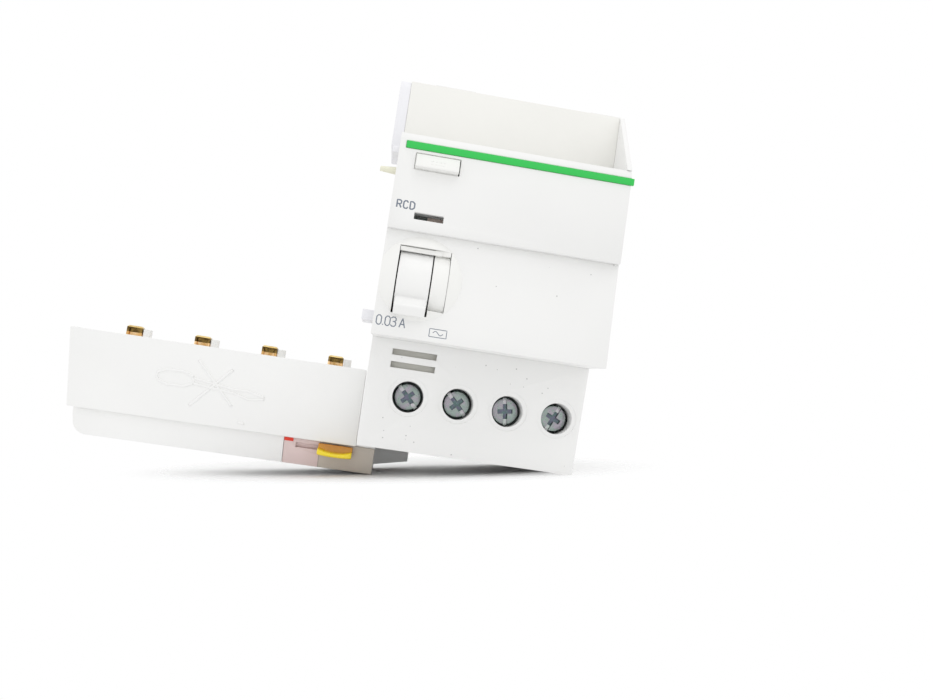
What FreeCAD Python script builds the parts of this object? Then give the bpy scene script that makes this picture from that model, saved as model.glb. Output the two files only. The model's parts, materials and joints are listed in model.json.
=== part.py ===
import FreeCAD, Part
import math
import os

# Add-on residual current block for a four-pole modular circuit breaker, in millimetres.
# +X runs to the right along the rail, +Y into the wall, +Z up.  The origin is the centre of the main unit's
# rail seat.  "Depth" is measured forward of the rail's front face, so a point at depth d has Y = -d.

os.makedirs("parts", exist_ok=True)

# ---- overall sizes -------------------------------------------------------------------------------------------
UNIT_WIDTH = 54.0            # three 18 mm modules
UNIT_TOP = 41.8
UNIT_BOTTOM = -48.5
REAR_OFFSET = 5.5            # housing behind the rail's front face
SEAM_DEPTH = 17.0            # rear base ends here, front cover starts
WALL = 1.5
FIT_GAP = 0.3                # between pieces that move past each other
SEAT_GAP = 0.1               # between pieces that are fixed together
RUNNING_GAP = 0.05           # radial, shafts in holes
LEFT_SIDE = -UNIT_WIDTH / 2

# ---- front outline -------------------------------------------------------------------------------------------
LOWER_NOSE_HEAD = 60.0
LOWER_NOSE_FOOT = 61.0
UPPER_NOSE = 61.5
NOSE_TOP = 24.0
NOSE_STEP = 1.8
NOSE_BOTTOM = -22.5
FASCIA_THICKNESS = 2.5
FASCIA_ROOF = 1.2
FASCIA_LEAN_HEIGHT = 1.7     # the fascia's top edge leans back over this height
FASCIA_LEAN_DEPTH = 0.8
TOP_SHOULDER = 46.2
TOP_PLATE_THICKNESS = 1.5
LOWER_SHOULDER_HEAD = 44.0
LOWER_SHOULDER_FOOT = 40.4
SHOULDER_RISE = 0.8          # the nose's underside rises this much towards the shoulder
CHEEK_THICKNESS = 1.2
RAMP_INSET = 0.5
RAMP_LAP = 0.1
RAMP_ROOT = 4.0
TOP_RIDGE = 0.7
TOP_RIDGES = ((LEFT_SIDE + 6.0, LEFT_SIDE + 16.0), (-LEFT_SIDE - 8.5, -LEFT_SIDE - 0.5))

# ---- rail ----------------------------------------------------------------------------------------------------
RAIL_HALF = 17.5             # 35 mm rail
RAIL_FREE = 0.3
SEAT_HALF = 14.0             # the raised pad that the rail's face rests on
SEAT_PROUD = 0.3
HOOK_GAP = 1.3               # room for the rail's 1 mm flange
HOOK_LIP = 2.0
HOOK_THICKNESS = 2.0
RECESS_FOOT = 19.5           # the rail recess ends this far below the rail's centre line
CLIP_HALF_WIDTH = 6.0
CLIP_BACK = -3.4
CLIP_FRONT = -1.4
CLIP_OVERLAP = 1.6
CLIP_SLOT_HALF = 2.5
CLIP_SLOT_LOW = 1.8
CLIP_SLOT_HIGH = 3.2
CLIP_WINDOW_HALF = 2.2
CLIP_WINDOW_LOW = -44.0
CLIP_WINDOW_HIGH = -28.0
CLIP_STOP_HIGH = -36.8
CLIP_STOP_HEIGHT = 1.2
CLIP_OPENING_HALF = 4.5

# ---- terminals -----------------------------------------------------------------------------------------------
POLES = 4
TERMINAL_PITCH = 12.4
FIRST_TERMINAL = LEFT_SIDE + 10.7
LAST_TERMINAL = FIRST_TERMINAL + (POLES - 1) * TERMINAL_PITCH
TERMINAL_HEIGHT = -35.1
SCREW_HEAD_RADIUS = 3.5
SCREW_HEAD_CHAMFER = 0.4
SCREW_HEAD_FRONT = 37.6
SCREW_SHANK_RADIUS = 2.1
SCREW_TIP = 27.5
SCREW_SLOT = 1.0
SCREW_SLOT_DEPTH = 0.9
SCREW_CROSS = 1.1
SCREW_CROSS_REACH = 1.9
SCREW_CROSS_DEPTH = 1.6
SCREW_ANGLES = (-47.0, -47.0, 98.0, 65.0)
ACCESS_RADIUS = 3.85
DISH_RADIUS = 4.9
DISH_DEPTH = 0.25
SLEEVE_RADIUS = 4.9
HOUSING_BACK = 17.3
HOUSING_FRONT = 35.0
HOUSING_LEFT = FIRST_TERMINAL - 5.3
HOUSING_RIGHT = LAST_TERMINAL + 4.5
HOUSING_TOP = -26.0
CHAMBER_HALF = 4.0
CHAMBER_BACK = 18.3
CHAMBER_FRONT = 33.9
CHAMBER_TOP = -29.0
CHAMBER_BOTTOM = -44.0
TUNNEL_BACK = 19.5
TUNNEL_FRONT = 27.2
CAGE_HALF = 3.7
CAGE_WALL = 1.2
CAGE_HALF_HEIGHT = 4.5
CAGE_BACK = 18.6
CAGE_REAR_WALL = 1.5
CAGE_FRONT = 30.6
CAGE_FRONT_WALL = 2.2
BAR_HALF = 2.3
BAR_BACK = 25.6
BAR_THICKNESS = 1.4
BAR_TOP = -24.0
BAR_BOTTOM = -43.0

# ---- marker slots --------------------------------------------------------------------------------------------
MARKER_SLOT_X = (LEFT_SIDE + 5.3, LEFT_SIDE + 16.2)
MARKER_SLOT_HEIGHTS = ((-25.4, -23.9), (-28.5, -27.0))
MARKER_BACKING_X = (LEFT_SIDE + 4.0, LEFT_SIDE + 17.5)
MARKER_BACKING_LOW = -29.4
MARKER_BACKING_GAP = 0.4
MARKER_BACKING_THICKNESS = 0.7

# ---- toggle --------------------------------------------------------------------------------------------------
TOGGLE_LEFT = LEFT_SIDE + 3.9
TOGGLE_RIGHT = LEFT_SIDE + 11.4
TOGGLE_HEIGHT = -9.4
TOGGLE_AXIS = 54.0
TOGGLE_RADIUS = 8.4
TOGGLE_SLOT_LEFT = TOGGLE_LEFT - FIT_GAP
TOGGLE_SLOT_RIGHT = TOGGLE_RIGHT + 4.0
TOGGLE_SLOT_HALF = 7.75
HANDLE_ANGLE = 38.0          # below the horizontal when tripped
HANDLE_REACH = 11.9
HANDLE_THICKNESS = 2.8
HANDLE_INSET = 0.2
HANDLE_ROUND = 0.6
AXLE_RADIUS = 1.5
BEARING_THICKNESS = 1.5
BEARING_HALF_DEPTH = 3.0
BEARING_HALF_HEIGHT = 4.0
BEZEL_RADIUS = 9.6
BEZEL_RISE = 2.6
BEZEL_CENTRE = LEFT_SIDE + 8.95
CHEEK_LOW = 6.3              # the cheek ends this far below the toggle's axis
STOP_BAR_BACK = 59.75
STOP_BAR_FRONT = 60.55
STOP_BAR_HEIGHT = 1.0

# ---- upper fascia pieces -------------------------------------------------------------------------------------
STRIPE_LEFT = LEFT_SIDE + 1.5
STRIPE_OVERHANG = 0.6
STRIPE_LOW = 20.4
STRIPE_HIGH = 22.0
STRIPE_SUNK = 0.5
STRIPE_PROUD = 0.25
STRIPE_GAP = 0.05
BUTTON_LEFT = LEFT_SIDE + 4.2
BUTTON_RIGHT = BUTTON_LEFT + 9.9
BUTTON_LOW = 16.0
BUTTON_HIGH = 19.4
BUTTON_PROUD = 2.0
BUTTON_TOP_PROUD = 0.3
BUTTON_NOSE = 0.6
BUTTON_NOSE_LEAN = 0.2
BUTTON_GAP = 0.25
BUTTON_BACK = 57.2
BUTTON_FLANGE = 0.9
BUTTON_FLANGE_LIP = 0.5
BUTTON_STEM_RADIUS = 1.5
BUTTON_STEM_TIP = 52.4
BUTTON_SPRING_SEAT = 51.6
BUTTON_SEAT_THICKNESS = 1.0
BUTTON_SPRING_RADIUS = 2.2
BUTTON_SPRING_TURNS = 4
CONTACT_BACK = 49.8
CONTACT_FRONT = 50.2
CONTACT_TAIL = 1.5
CONTACT_DROP = 1.5
CONTACT_RISE = 1.0
WINDOW_LEFT = LEFT_SIDE + 5.6
WINDOW_RIGHT = WINDOW_LEFT + 6.7
WINDOW_LOW = 4.4
WINDOW_HIGH = 6.0
WINDOW_LEDGE = 0.4
LENS_THICKNESS = 0.8
FLAG_TRAVEL = 3.3
FLAG_FRONT = 57.2
FLAG_THICKNESS = 0.9
FLAG_MARGIN = 0.8
FLAG_LAP = 0.2
FLAG_STEM = (WINDOW_LEFT + 2.4, WINDOW_LEFT + 4.4)
FLAG_STEM_LOW = 0.9

# ---- trip linkage --------------------------------------------------------------------------------------------
TRIP_DEPTH = 50.0
TRIP_PIVOT = 9.0
TRIP_PIN_HEIGHT = 17.8
TRIP_PIN_ROOT = 1.1
TRIP_PIN_TIP = 0.6
TRIP_PIN_REACH = 4.15        # beyond the side face
TRIP_LEVER_THICKNESS = 1.5
TRIP_LEVER_HALF = 2.6
TRIP_ARM_HALF = 2.0
TRIP_ARM_RISE = 1.4
TRIP_AXLE_RADIUS = 1.0
TRIP_SLOT_DEPTH = (46.4, 51.8)
TRIP_SLOT_HEIGHT = (16.0, 19.6)
CROSSBAR_DEPTH = (44.4, 46.4)
CROSSBAR_HEIGHT = (8.0, 10.0)
FINGER_X = (10.0, 14.0)
FINGER_BACK = 38.5
FINGER_HEIGHT = (8.4, 9.8)
RELAY_X = (8.0, 24.0)
RELAY_DEPTH = (27.0, 42.5)
RELAY_HEIGHT = (14.0, 36.0)
PLUNGER_X = 12.0
PLUNGER_DEPTH = 40.0
PLUNGER_TIP = 10.1
PLUNGER_RADIUS = 1.0
PLUNGER_HEAD_RADIUS = 1.9
PLUNGER_HEAD_LOW = 24.0
PLUNGER_HEAD_THICKNESS = 1.5
PLUNGER_BORE_GAP = 0.2
RELAY_SPRING_RADIUS = 1.5
RELAY_SPRING_TURNS = 6

# ---- summation transformer and board -------------------------------------------------------------------------
CORE_X = 3.0
CORE_DEPTH = 30.0
CORE_LOW = -4.4
CORE_HIGH = 3.4
CORE_INNER = 8.8
CORE_OUTER = 12.6
TURNS = 24
TURN_WIDTH = 1.2
TURN_THICKNESS = 0.9
TURN_GAP = 0.1
CONDUCTOR_RADIUS = 1.2
CONDUCTOR_SPREAD = 1.8
CONDUCTOR_PLANES = (9.0, 12.0, 15.0, 18.0)
RETURN_PLANES = (-10.0, -13.0, -13.0, -10.0)
BOARD_X = (-8.0, 24.0)
BOARD_DEPTH = 51.0
BOARD_THICKNESS = 1.6
BOARD_HEIGHT = (-19.0, 19.0)
BOARD_POSTS = ((20.0, 15.0), (20.0, -15.0), (-5.0, -15.0))
BOARD_POST_RADIUS = 1.8
RESISTOR_RADIUS = 2.0
RESISTOR_X = (4.0, 16.0)
RESISTOR_HEIGHT = -8.0
RESISTOR_LEAD = 0.4
RESISTOR_LEAD_ROOT = 1.0
RESISTOR_LEAD_REACH = 1.5
RESISTOR_STANDOFF = 0.3

# ---- connection block ----------------------------------------------------------------------------------------
BLOCK_WIDTH = 72.0           # four 18 mm poles
BLOCK_POLE = 18.0
BLOCK_TRAVEL = 7.6           # below its closed place, as it rests
CASING_INSET = 1.0
CASING_BACK = 2.5
CASING_FRONT = 31.2
CASING_WALL = 1.5
CASING_UNDERLAP = 4.5        # how far the casing reaches under the main unit
CASING_CORNER = 3.0
CASING_NOSE = 5.2            # solid front of the tray, ahead of its hollow
CASING_TOP_GAP = 0.3
CASING_KNEE_DROP = 2.4       # the front rolls under in two steps
CASING_KNEE_BACK = 0.6
CASING_FOOT_BACK = 3.0
COVER_PLATE = 1.2
TONGUE_HEEL = 1.9            # above the tray's bottom, at the tray's side
TONGUE_TIP = 3.9             # above the tray's bottom, at the guide tube's side
SHIELD_TOP = -30.0
SHIELD_BOTTOM = UNIT_BOTTOM - 0.8
SHIELD_TOP_DEPTH = 39.8
SHIELD_BOTTOM_DEPTH = 33.1
SHIELD_THICKNESS = 1.6
SHIELD_FOOT = 1.1
SHIELD_FOOT_BACK = 26.5
SHIELD_FOOT_INSET = 2.0
PIN_SHIFT = -0.8             # from the middle of its pole
PIN_HALF = 2.05
PIN_BACK = 14.8
PIN_THICKNESS = 2.4
PIN_TOP = -26.5
PIN_CHAMFER = 0.4
PIN_RECESS_HALF = 1.4
PIN_RECESS_DEPTH = 1.2
PIN_RECESS_TOP = 0.7
PIN_RECESS_LENGTH = 12.0
GUARD_STANDOFF = 0.25
GUARD_WIDTH = 1.9
GUARD_SETBACK = 0.2
GUARD_TOP = -27.1
TRACK_LEFT = LEFT_SIDE - 18.5
TRACK_SUNK = 0.15
TRACK_THICKNESS = 0.6
TRACK_TOP = UNIT_BOTTOM - 0.9
LOCK_LEFT = LEFT_SIDE - 9.7
LOCK_RIGHT = LEFT_SIDE - 1.0
LOCK_TRAVEL = 8.6
LOCK_TOP = TRACK_TOP - FIT_GAP
LOCK_FOOT = TRACK_TOP - 3.5
LOCK_SHELF = 1.2             # thickness at the top, above the scoop
LOCK_LIP = 3.6               # the finger lip stands this far off the track
LOCK_LIP_TOP = TRACK_TOP - 1.9
LOCK_LIP_ROUND = 0.5
LOCK_STEM = (LEFT_SIDE - 6.6, LEFT_SIDE - 4.1)
STEM_LOW = TRACK_TOP - 1.9
STEM_HIGH = TRACK_TOP - 1.3
STRIP_THICKNESS = 0.6        # the strip behind the track keeps dust out of the slot
STRIP_LAP = 0.4
STRIP_END = 1.0
MARK_WIDTH = 2.3
MARK_LOW = TRACK_TOP - 0.9
MARK_THICKNESS = 0.1
CARRIAGE_LEFT = LEFT_SIDE + 2.1
CARRIAGE_RIGHT = LEFT_SIDE + 13.6
CARRIAGE_BACK = 3.2
CARRIAGE_FRONT = 16.2
CARRIAGE_TOP = -14.0
NOTCH_GAP = 0.4
BUSBAR_WIDTH = 1.2
BUSBAR_LOW = UNIT_BOTTOM - 3.6
BUSBAR_HIGH = UNIT_BOTTOM - 2.1
BUSBAR_ROWS = (9.2, 10.8, 12.4, 14.0)
RISER_FIRST = CARRIAGE_LEFT + 1.4
RISER_PITCH = 2.66
RISER_DEPTH = 8.4
RISER_HALF = 0.8
BRAID_HALF_WIDTH = 0.9
BRAID_HALF_DEPTH = 1.5
BRAID_TOP = 5.0

# ---- side coupling pieces ------------------------------------------------------------------------------------
FLANGE_REACH = 2.6
FLANGE_LOW = 25.0
FLANGE_BACK = 30.0
FLANGE_CORNER = 2.0
FLANGE_CORNER_DEPTH = 1.0
SIDE_LUGS = ((1.9, 46.0, 52.0, 21.8, 23.3), (2.9, 46.0, 54.0, -19.0, -16.6))

# ---- case screws ---------------------------------------------------------------------------------------------
CASE_SCREW_RADIUS = 1.2
CASE_HEAD_RADIUS = 2.4
CASE_HEAD_THICKNESS = 1.6
CASE_HEAD_SUNK = 0.5
CASE_SLOT_HALF = 0.4
CASE_SLOT_DEPTH = 0.7
CASE_BOSS_RADIUS = 3.2
LOW_BOSS_RADIUS = 2.8
TOP_SCREW_INSET = 4.5
TOP_SCREW_DROP = 5.8
TOP_SCREW_TIP = 24.0
LOW_SCREW_TIP = 22.0
BOSS_BEYOND_TIP = 2.0
TIP_ROOM = 0.5

# ---- springs and cutting tools -------------------------------------------------------------------------------
SPRING_WIRE = 0.18
SPRING_END = 0.25            # room between a spring's end turn and its seat
CLIP_SPRING_RADIUS = 0.7
CLIP_SPRING_TURNS = 6
OVERCUT = 1.0                # cutting tools run this far past what they cut

# ---- values that follow --------------------------------------------------------------------------------------
HALF = UNIT_WIDTH / 2
TOP_SCREWS = [(side * (HALF - TOP_SCREW_INSET), UNIT_TOP - TOP_SCREW_DROP) for side in (-1, 1)]
INNER = HALF - WALL
SHOULDER_TOP = NOSE_BOTTOM + SHOULDER_RISE
FASCIA_SEAT = UPPER_NOSE - FASCIA_THICKNESS
TOP_PLATE_SEAT = TOP_SHOULDER - TOP_PLATE_THICKNESS
TERMINALS = [FIRST_TERMINAL + pole * TERMINAL_PITCH for pole in range(POLES)]
LOW_SCREWS = [((TERMINALS[0] + TERMINALS[1]) / 2, -34.0), ((TERMINALS[2] + TERMINALS[3]) / 2, -34.0)]
BLOCK_LEFT = -HALF - BLOCK_WIDTH
BLOCK_PINS = [BLOCK_LEFT + BLOCK_POLE * (pole + 0.5) + PIN_SHIFT for pole in range(POLES)]
RISERS = [RISER_FIRST + pole * RISER_PITCH for pole in range(POLES)]
CASING_TOP = UNIT_BOTTOM - CASING_TOP_GAP
CASING_BOTTOM = UNIT_BOTTOM - BLOCK_TRAVEL
CASING_RIGHT = -HALF + CASING_UNDERLAP
CASING_KNEE = CASING_TOP - CASING_KNEE_DROP
NOTCH_TOP = CASING_TOP + BLOCK_TRAVEL + NOTCH_GAP


def point(x, depth, z):
    """A place given by its depth in front of the rail."""
    return FreeCAD.Vector(x, -depth, z)


def block(x_low, x_high, back, front, z_low, z_high):
    """Box between two depths."""
    return Part.makeBox(x_high - x_low, front - back, z_high - z_low, point(x_low, front, z_low))


def rod(radius, start, end):
    """Round bar between two places."""
    axis = end - start
    return Part.makeCylinder(radius, axis.Length, start, axis)


def side_profile(outline, x_low, x_high):
    """Prism along X from an outline of (depth, height) corners."""
    corners = [point(x_low, depth, z) for depth, z in outline]
    face = Part.Face(Part.makePolygon(corners + corners[:1]))
    return face.extrude(FreeCAD.Vector(x_high - x_low, 0, 0))


def front_profile(outline, back, front):
    """Prism between two depths from an outline of (x, height) corners."""
    corners = [point(x, front, z) for x, z in outline]
    face = Part.Face(Part.makePolygon(corners + corners[:1]))
    return face.extrude(FreeCAD.Vector(0, front - back, 0))


def fuse(shapes):
    """One solid from several that touch."""
    return shapes[0].multiFuse(shapes[1:]).removeSplitter()


def cut(shape, tools):
    """A shape less several others."""
    return shape.cut(tools).removeSplitter()


def coil(radius, start, length, turns, direction):
    """Closed coil spring from start along direction."""
    helix = Part.makeHelix(length / turns, length, radius)
    profile = Part.Wire(Part.makeCircle(SPRING_WIRE, FreeCAD.Vector(radius, 0, 0), FreeCAD.Vector(0, 1, 0)))
    spring = Part.Wire(helix.Edges).makePipeShell([profile], True, True)
    turn = FreeCAD.Rotation(FreeCAD.Vector(0, 0, 1), direction)
    spring.Placement = FreeCAD.Placement(start, turn)
    return spring


def save(node, shape):
    """Write one node and say what it is."""
    solids = shape.Solids
    if not solids or not shape.isValid():
        raise ValueError(node + " is not a valid solid")
    print(node, len(solids), "solid(s)", round(sum(solid.Volume for solid in solids), 1), "mm3")
    shape.exportStep("parts/" + node + ".step")


def cover_outline():
    """Outside of the front cover, seen from the side."""
    return [
        (SEAM_DEPTH, SHOULDER_TOP),
        (LOWER_SHOULDER_HEAD, SHOULDER_TOP),
        (LOWER_NOSE_FOOT, NOSE_BOTTOM),
        (LOWER_NOSE_HEAD, NOSE_STEP),
        (FASCIA_SEAT, NOSE_STEP),
        (FASCIA_SEAT, NOSE_TOP - FASCIA_ROOF),
        (TOP_PLATE_SEAT, NOSE_TOP - FASCIA_ROOF),
        (TOP_PLATE_SEAT, UNIT_TOP),
        (SEAM_DEPTH, UNIT_TOP),
    ]


def cover_hollow():
    """Inside of the front cover, one wall in from its outline and open below and behind."""
    return [
        (SEAM_DEPTH - OVERCUT, SHOULDER_TOP - OVERCUT),
        (LOWER_SHOULDER_HEAD - WALL, SHOULDER_TOP - OVERCUT),
        (LOWER_SHOULDER_HEAD - WALL, SHOULDER_TOP + WALL),
        (LOWER_NOSE_FOOT - WALL, NOSE_BOTTOM + WALL),
        (LOWER_NOSE_HEAD - WALL, NOSE_STEP - WALL),
        (FASCIA_SEAT - WALL, NOSE_STEP - WALL),
        (FASCIA_SEAT - WALL, NOSE_TOP - FASCIA_ROOF - WALL),
        (TOP_PLATE_SEAT - WALL, NOSE_TOP - FASCIA_ROOF - WALL),
        (TOP_PLATE_SEAT - WALL, UNIT_TOP - WALL),
        (SEAM_DEPTH - OVERCUT, UNIT_TOP - WALL),
    ]


def shroud_outline():
    """Outside of the terminal shroud, seen from the side."""
    return [
        (SEAM_DEPTH, UNIT_BOTTOM),
        (LOWER_SHOULDER_FOOT, UNIT_BOTTOM),
        (LOWER_SHOULDER_HEAD, SHOULDER_TOP),
        (SEAM_DEPTH, SHOULDER_TOP),
    ]


def shroud_hollow():
    """Inside of the terminal shroud, open above and behind."""
    return [
        (SEAM_DEPTH - OVERCUT, UNIT_BOTTOM + WALL),
        (LOWER_SHOULDER_FOOT - WALL, UNIT_BOTTOM + WALL),
        (LOWER_SHOULDER_HEAD - WALL, SHOULDER_TOP),
        (LOWER_SHOULDER_HEAD - WALL, SHOULDER_TOP + OVERCUT),
        (SEAM_DEPTH - OVERCUT, SHOULDER_TOP + OVERCUT),
    ]


def shoulder_depth(z):
    """Depth of the lower shoulder's face at a height."""
    rise = (z - UNIT_BOTTOM) / (SHOULDER_TOP - UNIT_BOTTOM)
    return LOWER_SHOULDER_FOOT + (LOWER_SHOULDER_HEAD - LOWER_SHOULDER_FOOT) * rise


def rear_base():
    """Rail-side shell with the fixed hook, the clip's guide and the case screws' bosses."""
    hook_edge = RAIL_HALF + RAIL_FREE
    outline = [
        (SEAM_DEPTH, UNIT_TOP), (SEAM_DEPTH, UNIT_BOTTOM), (-REAR_OFFSET, UNIT_BOTTOM),
        (-REAR_OFFSET, -RECESS_FOOT), (SEAT_PROUD, -RECESS_FOOT), (SEAT_PROUD, -SEAT_HALF), (0, -SEAT_HALF),
        (0, SEAT_HALF), (SEAT_PROUD, SEAT_HALF), (SEAT_PROUD, hook_edge), (-HOOK_GAP, hook_edge),
        (-HOOK_GAP, hook_edge - HOOK_LIP), (-HOOK_GAP - HOOK_THICKNESS, hook_edge - HOOK_LIP),
        (-REAR_OFFSET, hook_edge), (-REAR_OFFSET, UNIT_TOP),
    ]
    shell = side_profile(outline, -HALF, HALF)
    back_wall = REAR_OFFSET - WALL
    lower_hollow_top = -RECESS_FOOT - WALL
    guide_half = CLIP_HALF_WIDTH + FIT_GAP + WALL
    seat_wall = SEAT_PROUD + WALL
    hollows = [
        block(-INNER, INNER, seat_wall, SEAM_DEPTH + WALL, UNIT_BOTTOM + WALL, UNIT_TOP - WALL),
        block(-INNER, INNER, -back_wall, seat_wall, hook_edge + WALL, UNIT_TOP - WALL),
        block(-INNER, -guide_half, -back_wall, seat_wall, UNIT_BOTTOM + WALL, lower_hollow_top),
        block(guide_half, INNER, -back_wall, seat_wall, UNIT_BOTTOM + WALL, lower_hollow_top),
    ]
    shell = cut(shell, hollows)
    bosses = [rod(CASE_BOSS_RADIUS, point(x, -REAR_OFFSET, z), point(x, SEAM_DEPTH, z)) for x, z in TOP_SCREWS]
    bosses += [rod(LOW_BOSS_RADIUS, point(x, -REAR_OFFSET, z), point(x, SEAM_DEPTH, z)) for x, z in LOW_SCREWS]
    shell = fuse([shell] + bosses)
    below = UNIT_BOTTOM - OVERCUT
    guide_top = -RECESS_FOOT + OVERCUT
    channel_half = CLIP_HALF_WIDTH + FIT_GAP
    tools = [
        block(-channel_half, channel_half, CLIP_BACK - FIT_GAP, CLIP_FRONT + FIT_GAP, below, guide_top),
        block(-CLIP_OPENING_HALF, CLIP_OPENING_HALF, -REAR_OFFSET - OVERCUT, CLIP_BACK, below, guide_top),
        block(-HALF - OVERCUT, CARRIAGE_RIGHT + NOTCH_GAP, CASING_BACK - NOTCH_GAP, SEAM_DEPTH + OVERCUT, below,
              NOTCH_TOP),
    ]
    head_back = -REAR_OFFSET - OVERCUT
    head_seat = -REAR_OFFSET + CASE_HEAD_SUNK + CASE_HEAD_THICKNESS
    bore_front = SEAM_DEPTH + OVERCUT
    for x, z in TOP_SCREWS + LOW_SCREWS:
        tools.append(rod(CASE_HEAD_RADIUS + SEAT_GAP, point(x, head_back, z), point(x, head_seat, z)))
        tools.append(rod(CASE_SCREW_RADIUS + RUNNING_GAP, point(x, head_back, z), point(x, bore_front, z)))
    shell = cut(shell, tools)
    stop = block(-CLIP_WINDOW_HALF + FIT_GAP, CLIP_WINDOW_HALF - FIT_GAP, CLIP_BACK + SEAT_GAP, seat_wall,
                 CLIP_STOP_HIGH - CLIP_STOP_HEIGHT, CLIP_STOP_HIGH)
    return fuse([shell, stop])


def screw_openings():
    """Screwdriver holes with their shallow dishes, cut from the lower shoulder."""
    slope = math.atan2(LOWER_SHOULDER_HEAD - LOWER_SHOULDER_FOOT, SHOULDER_TOP - UNIT_BOTTOM)
    inward = FreeCAD.Vector(0, math.cos(slope), math.sin(slope))
    face = shoulder_depth(TERMINAL_HEIGHT)
    tools = []
    for x in TERMINALS:
        outside = point(x, face, TERMINAL_HEIGHT) - inward * OVERCUT
        tools.append(Part.makeCylinder(DISH_RADIUS, DISH_DEPTH + OVERCUT, outside, inward))
        tools.append(rod(ACCESS_RADIUS, point(x, HOUSING_FRONT, TERMINAL_HEIGHT),
                         point(x, face + BOSS_BEYOND_TIP, TERMINAL_HEIGHT)))
    return tools


def toggle_opening():
    """Room of the toggle's slot: tall beside the handle, shorter where the cheek fills it."""
    front = UPPER_NOSE + BEZEL_RISE
    top = TOGGLE_HEIGHT + TOGGLE_SLOT_HALF
    middle = TOGGLE_RIGHT + FIT_GAP
    back = LOWER_NOSE_HEAD - WALL - OVERCUT
    handle_room = block(TOGGLE_SLOT_LEFT, middle, back, front, TOGGLE_HEIGHT - TOGGLE_SLOT_HALF, top)
    cheek_room = block(middle, TOGGLE_SLOT_RIGHT, back, front, TOGGLE_HEIGHT - CHEEK_LOW, top)
    return fuse([handle_room, cheek_room])


def button_room(back):
    """Opening round the test button, from a depth outwards."""
    return block(BUTTON_LEFT - BUTTON_GAP, BUTTON_RIGHT + BUTTON_GAP, back, UPPER_NOSE + OVERCUT,
                 BUTTON_LOW - BUTTON_GAP, BUTTON_HIGH + BUTTON_GAP)


def front_cover():
    """Front shell: lower nose, upper shoulder's seat, side walls, toggle bearings and inner posts."""
    shell = side_profile(cover_outline(), -HALF, HALF).cut(side_profile(cover_hollow(), -INNER, INNER))
    extras = []
    boss_front = TOP_SCREW_TIP + BOSS_BEYOND_TIP
    for x, z in TOP_SCREWS:
        extras.append(rod(CASE_BOSS_RADIUS, point(x, SEAM_DEPTH, z), point(x, boss_front, z)))
    for x, z in BOARD_POSTS:
        front = FASCIA_SEAT - WALL / 2 if z > NOSE_STEP else LOWER_NOSE_HEAD - WALL / 2
        extras.append(rod(BOARD_POST_RADIUS, point(x, BOARD_DEPTH + BOARD_THICKNESS, z), point(x, front, z)))
    bearing_back = TOGGLE_AXIS - BEARING_HALF_DEPTH
    bearing_front = TOGGLE_AXIS + BEARING_HALF_DEPTH - FIT_GAP
    bearing_top = TOGGLE_HEIGHT + BEARING_HALF_HEIGHT
    ramp_back = TOP_PLATE_SEAT - RAMP_ROOT
    ramp_low = NOSE_TOP + RAMP_LAP
    extras += [
        block(-INNER - WALL / 2, TOGGLE_LEFT - FIT_GAP, bearing_back, bearing_front,
              TOGGLE_HEIGHT - BEARING_HALF_HEIGHT, bearing_top),
        block(TOGGLE_RIGHT + FIT_GAP, TOGGLE_RIGHT + FIT_GAP + BEARING_THICKNESS, bearing_back, bearing_front,
              NOSE_BOTTOM + WALL / 2, bearing_top),
        block(BUTTON_LEFT + BUTTON_FLANGE, BUTTON_RIGHT - BUTTON_FLANGE,
              BUTTON_SPRING_SEAT - BUTTON_SEAT_THICKNESS, BUTTON_SPRING_SEAT, BUTTON_LOW - BUTTON_FLANGE,
              NOSE_TOP - FASCIA_ROOF - WALL / 2),
        side_profile([(ramp_back, UNIT_TOP), (TOP_SHOULDER, UNIT_TOP), (UPPER_NOSE - RAMP_INSET, ramp_low),
                      (ramp_back, ramp_low)], HALF - CHEEK_THICKNESS, HALF),
    ]
    extras += [block(left, right, ramp_back, TOP_PLATE_SEAT, UNIT_TOP - WALL / 2, UNIT_TOP + TOP_RIDGE)
               for left, right in TOP_RIDGES]
    shell = fuse([shell] + extras)
    button_centre = (BUTTON_LEFT + BUTTON_RIGHT) / 2
    button_height = (BUTTON_LOW + BUTTON_HIGH) / 2
    inner_face = FASCIA_SEAT - WALL - OVERCUT / 2
    tools = [
        toggle_opening(),
        rod(AXLE_RADIUS + RUNNING_GAP, point(-INNER + SEAT_GAP, TOGGLE_AXIS, TOGGLE_HEIGHT),
            point(TOGGLE_RIGHT + FIT_GAP + BEARING_THICKNESS + OVERCUT, TOGGLE_AXIS, TOGGLE_HEIGHT)),
        block(-HALF - OVERCUT, -INNER + SEAT_GAP, *TRIP_SLOT_DEPTH, *TRIP_SLOT_HEIGHT),
        button_room(inner_face),
        block(WINDOW_LEFT, WINDOW_RIGHT, inner_face, FASCIA_SEAT + OVERCUT, WINDOW_LOW, WINDOW_HIGH),
        rod(BUTTON_STEM_RADIUS + FIT_GAP,
            point(button_centre, BUTTON_SPRING_SEAT - BUTTON_SEAT_THICKNESS - OVERCUT, button_height),
            point(button_centre, BUTTON_SPRING_SEAT + SEAT_GAP, button_height)),
    ]
    for x, z in TOP_SCREWS:
        tools.append(rod(CASE_SCREW_RADIUS + RUNNING_GAP, point(x, SEAM_DEPTH - OVERCUT, z),
                         point(x, TOP_SCREW_TIP + TIP_ROOM, z)))
    return cut(shell, tools)


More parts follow.
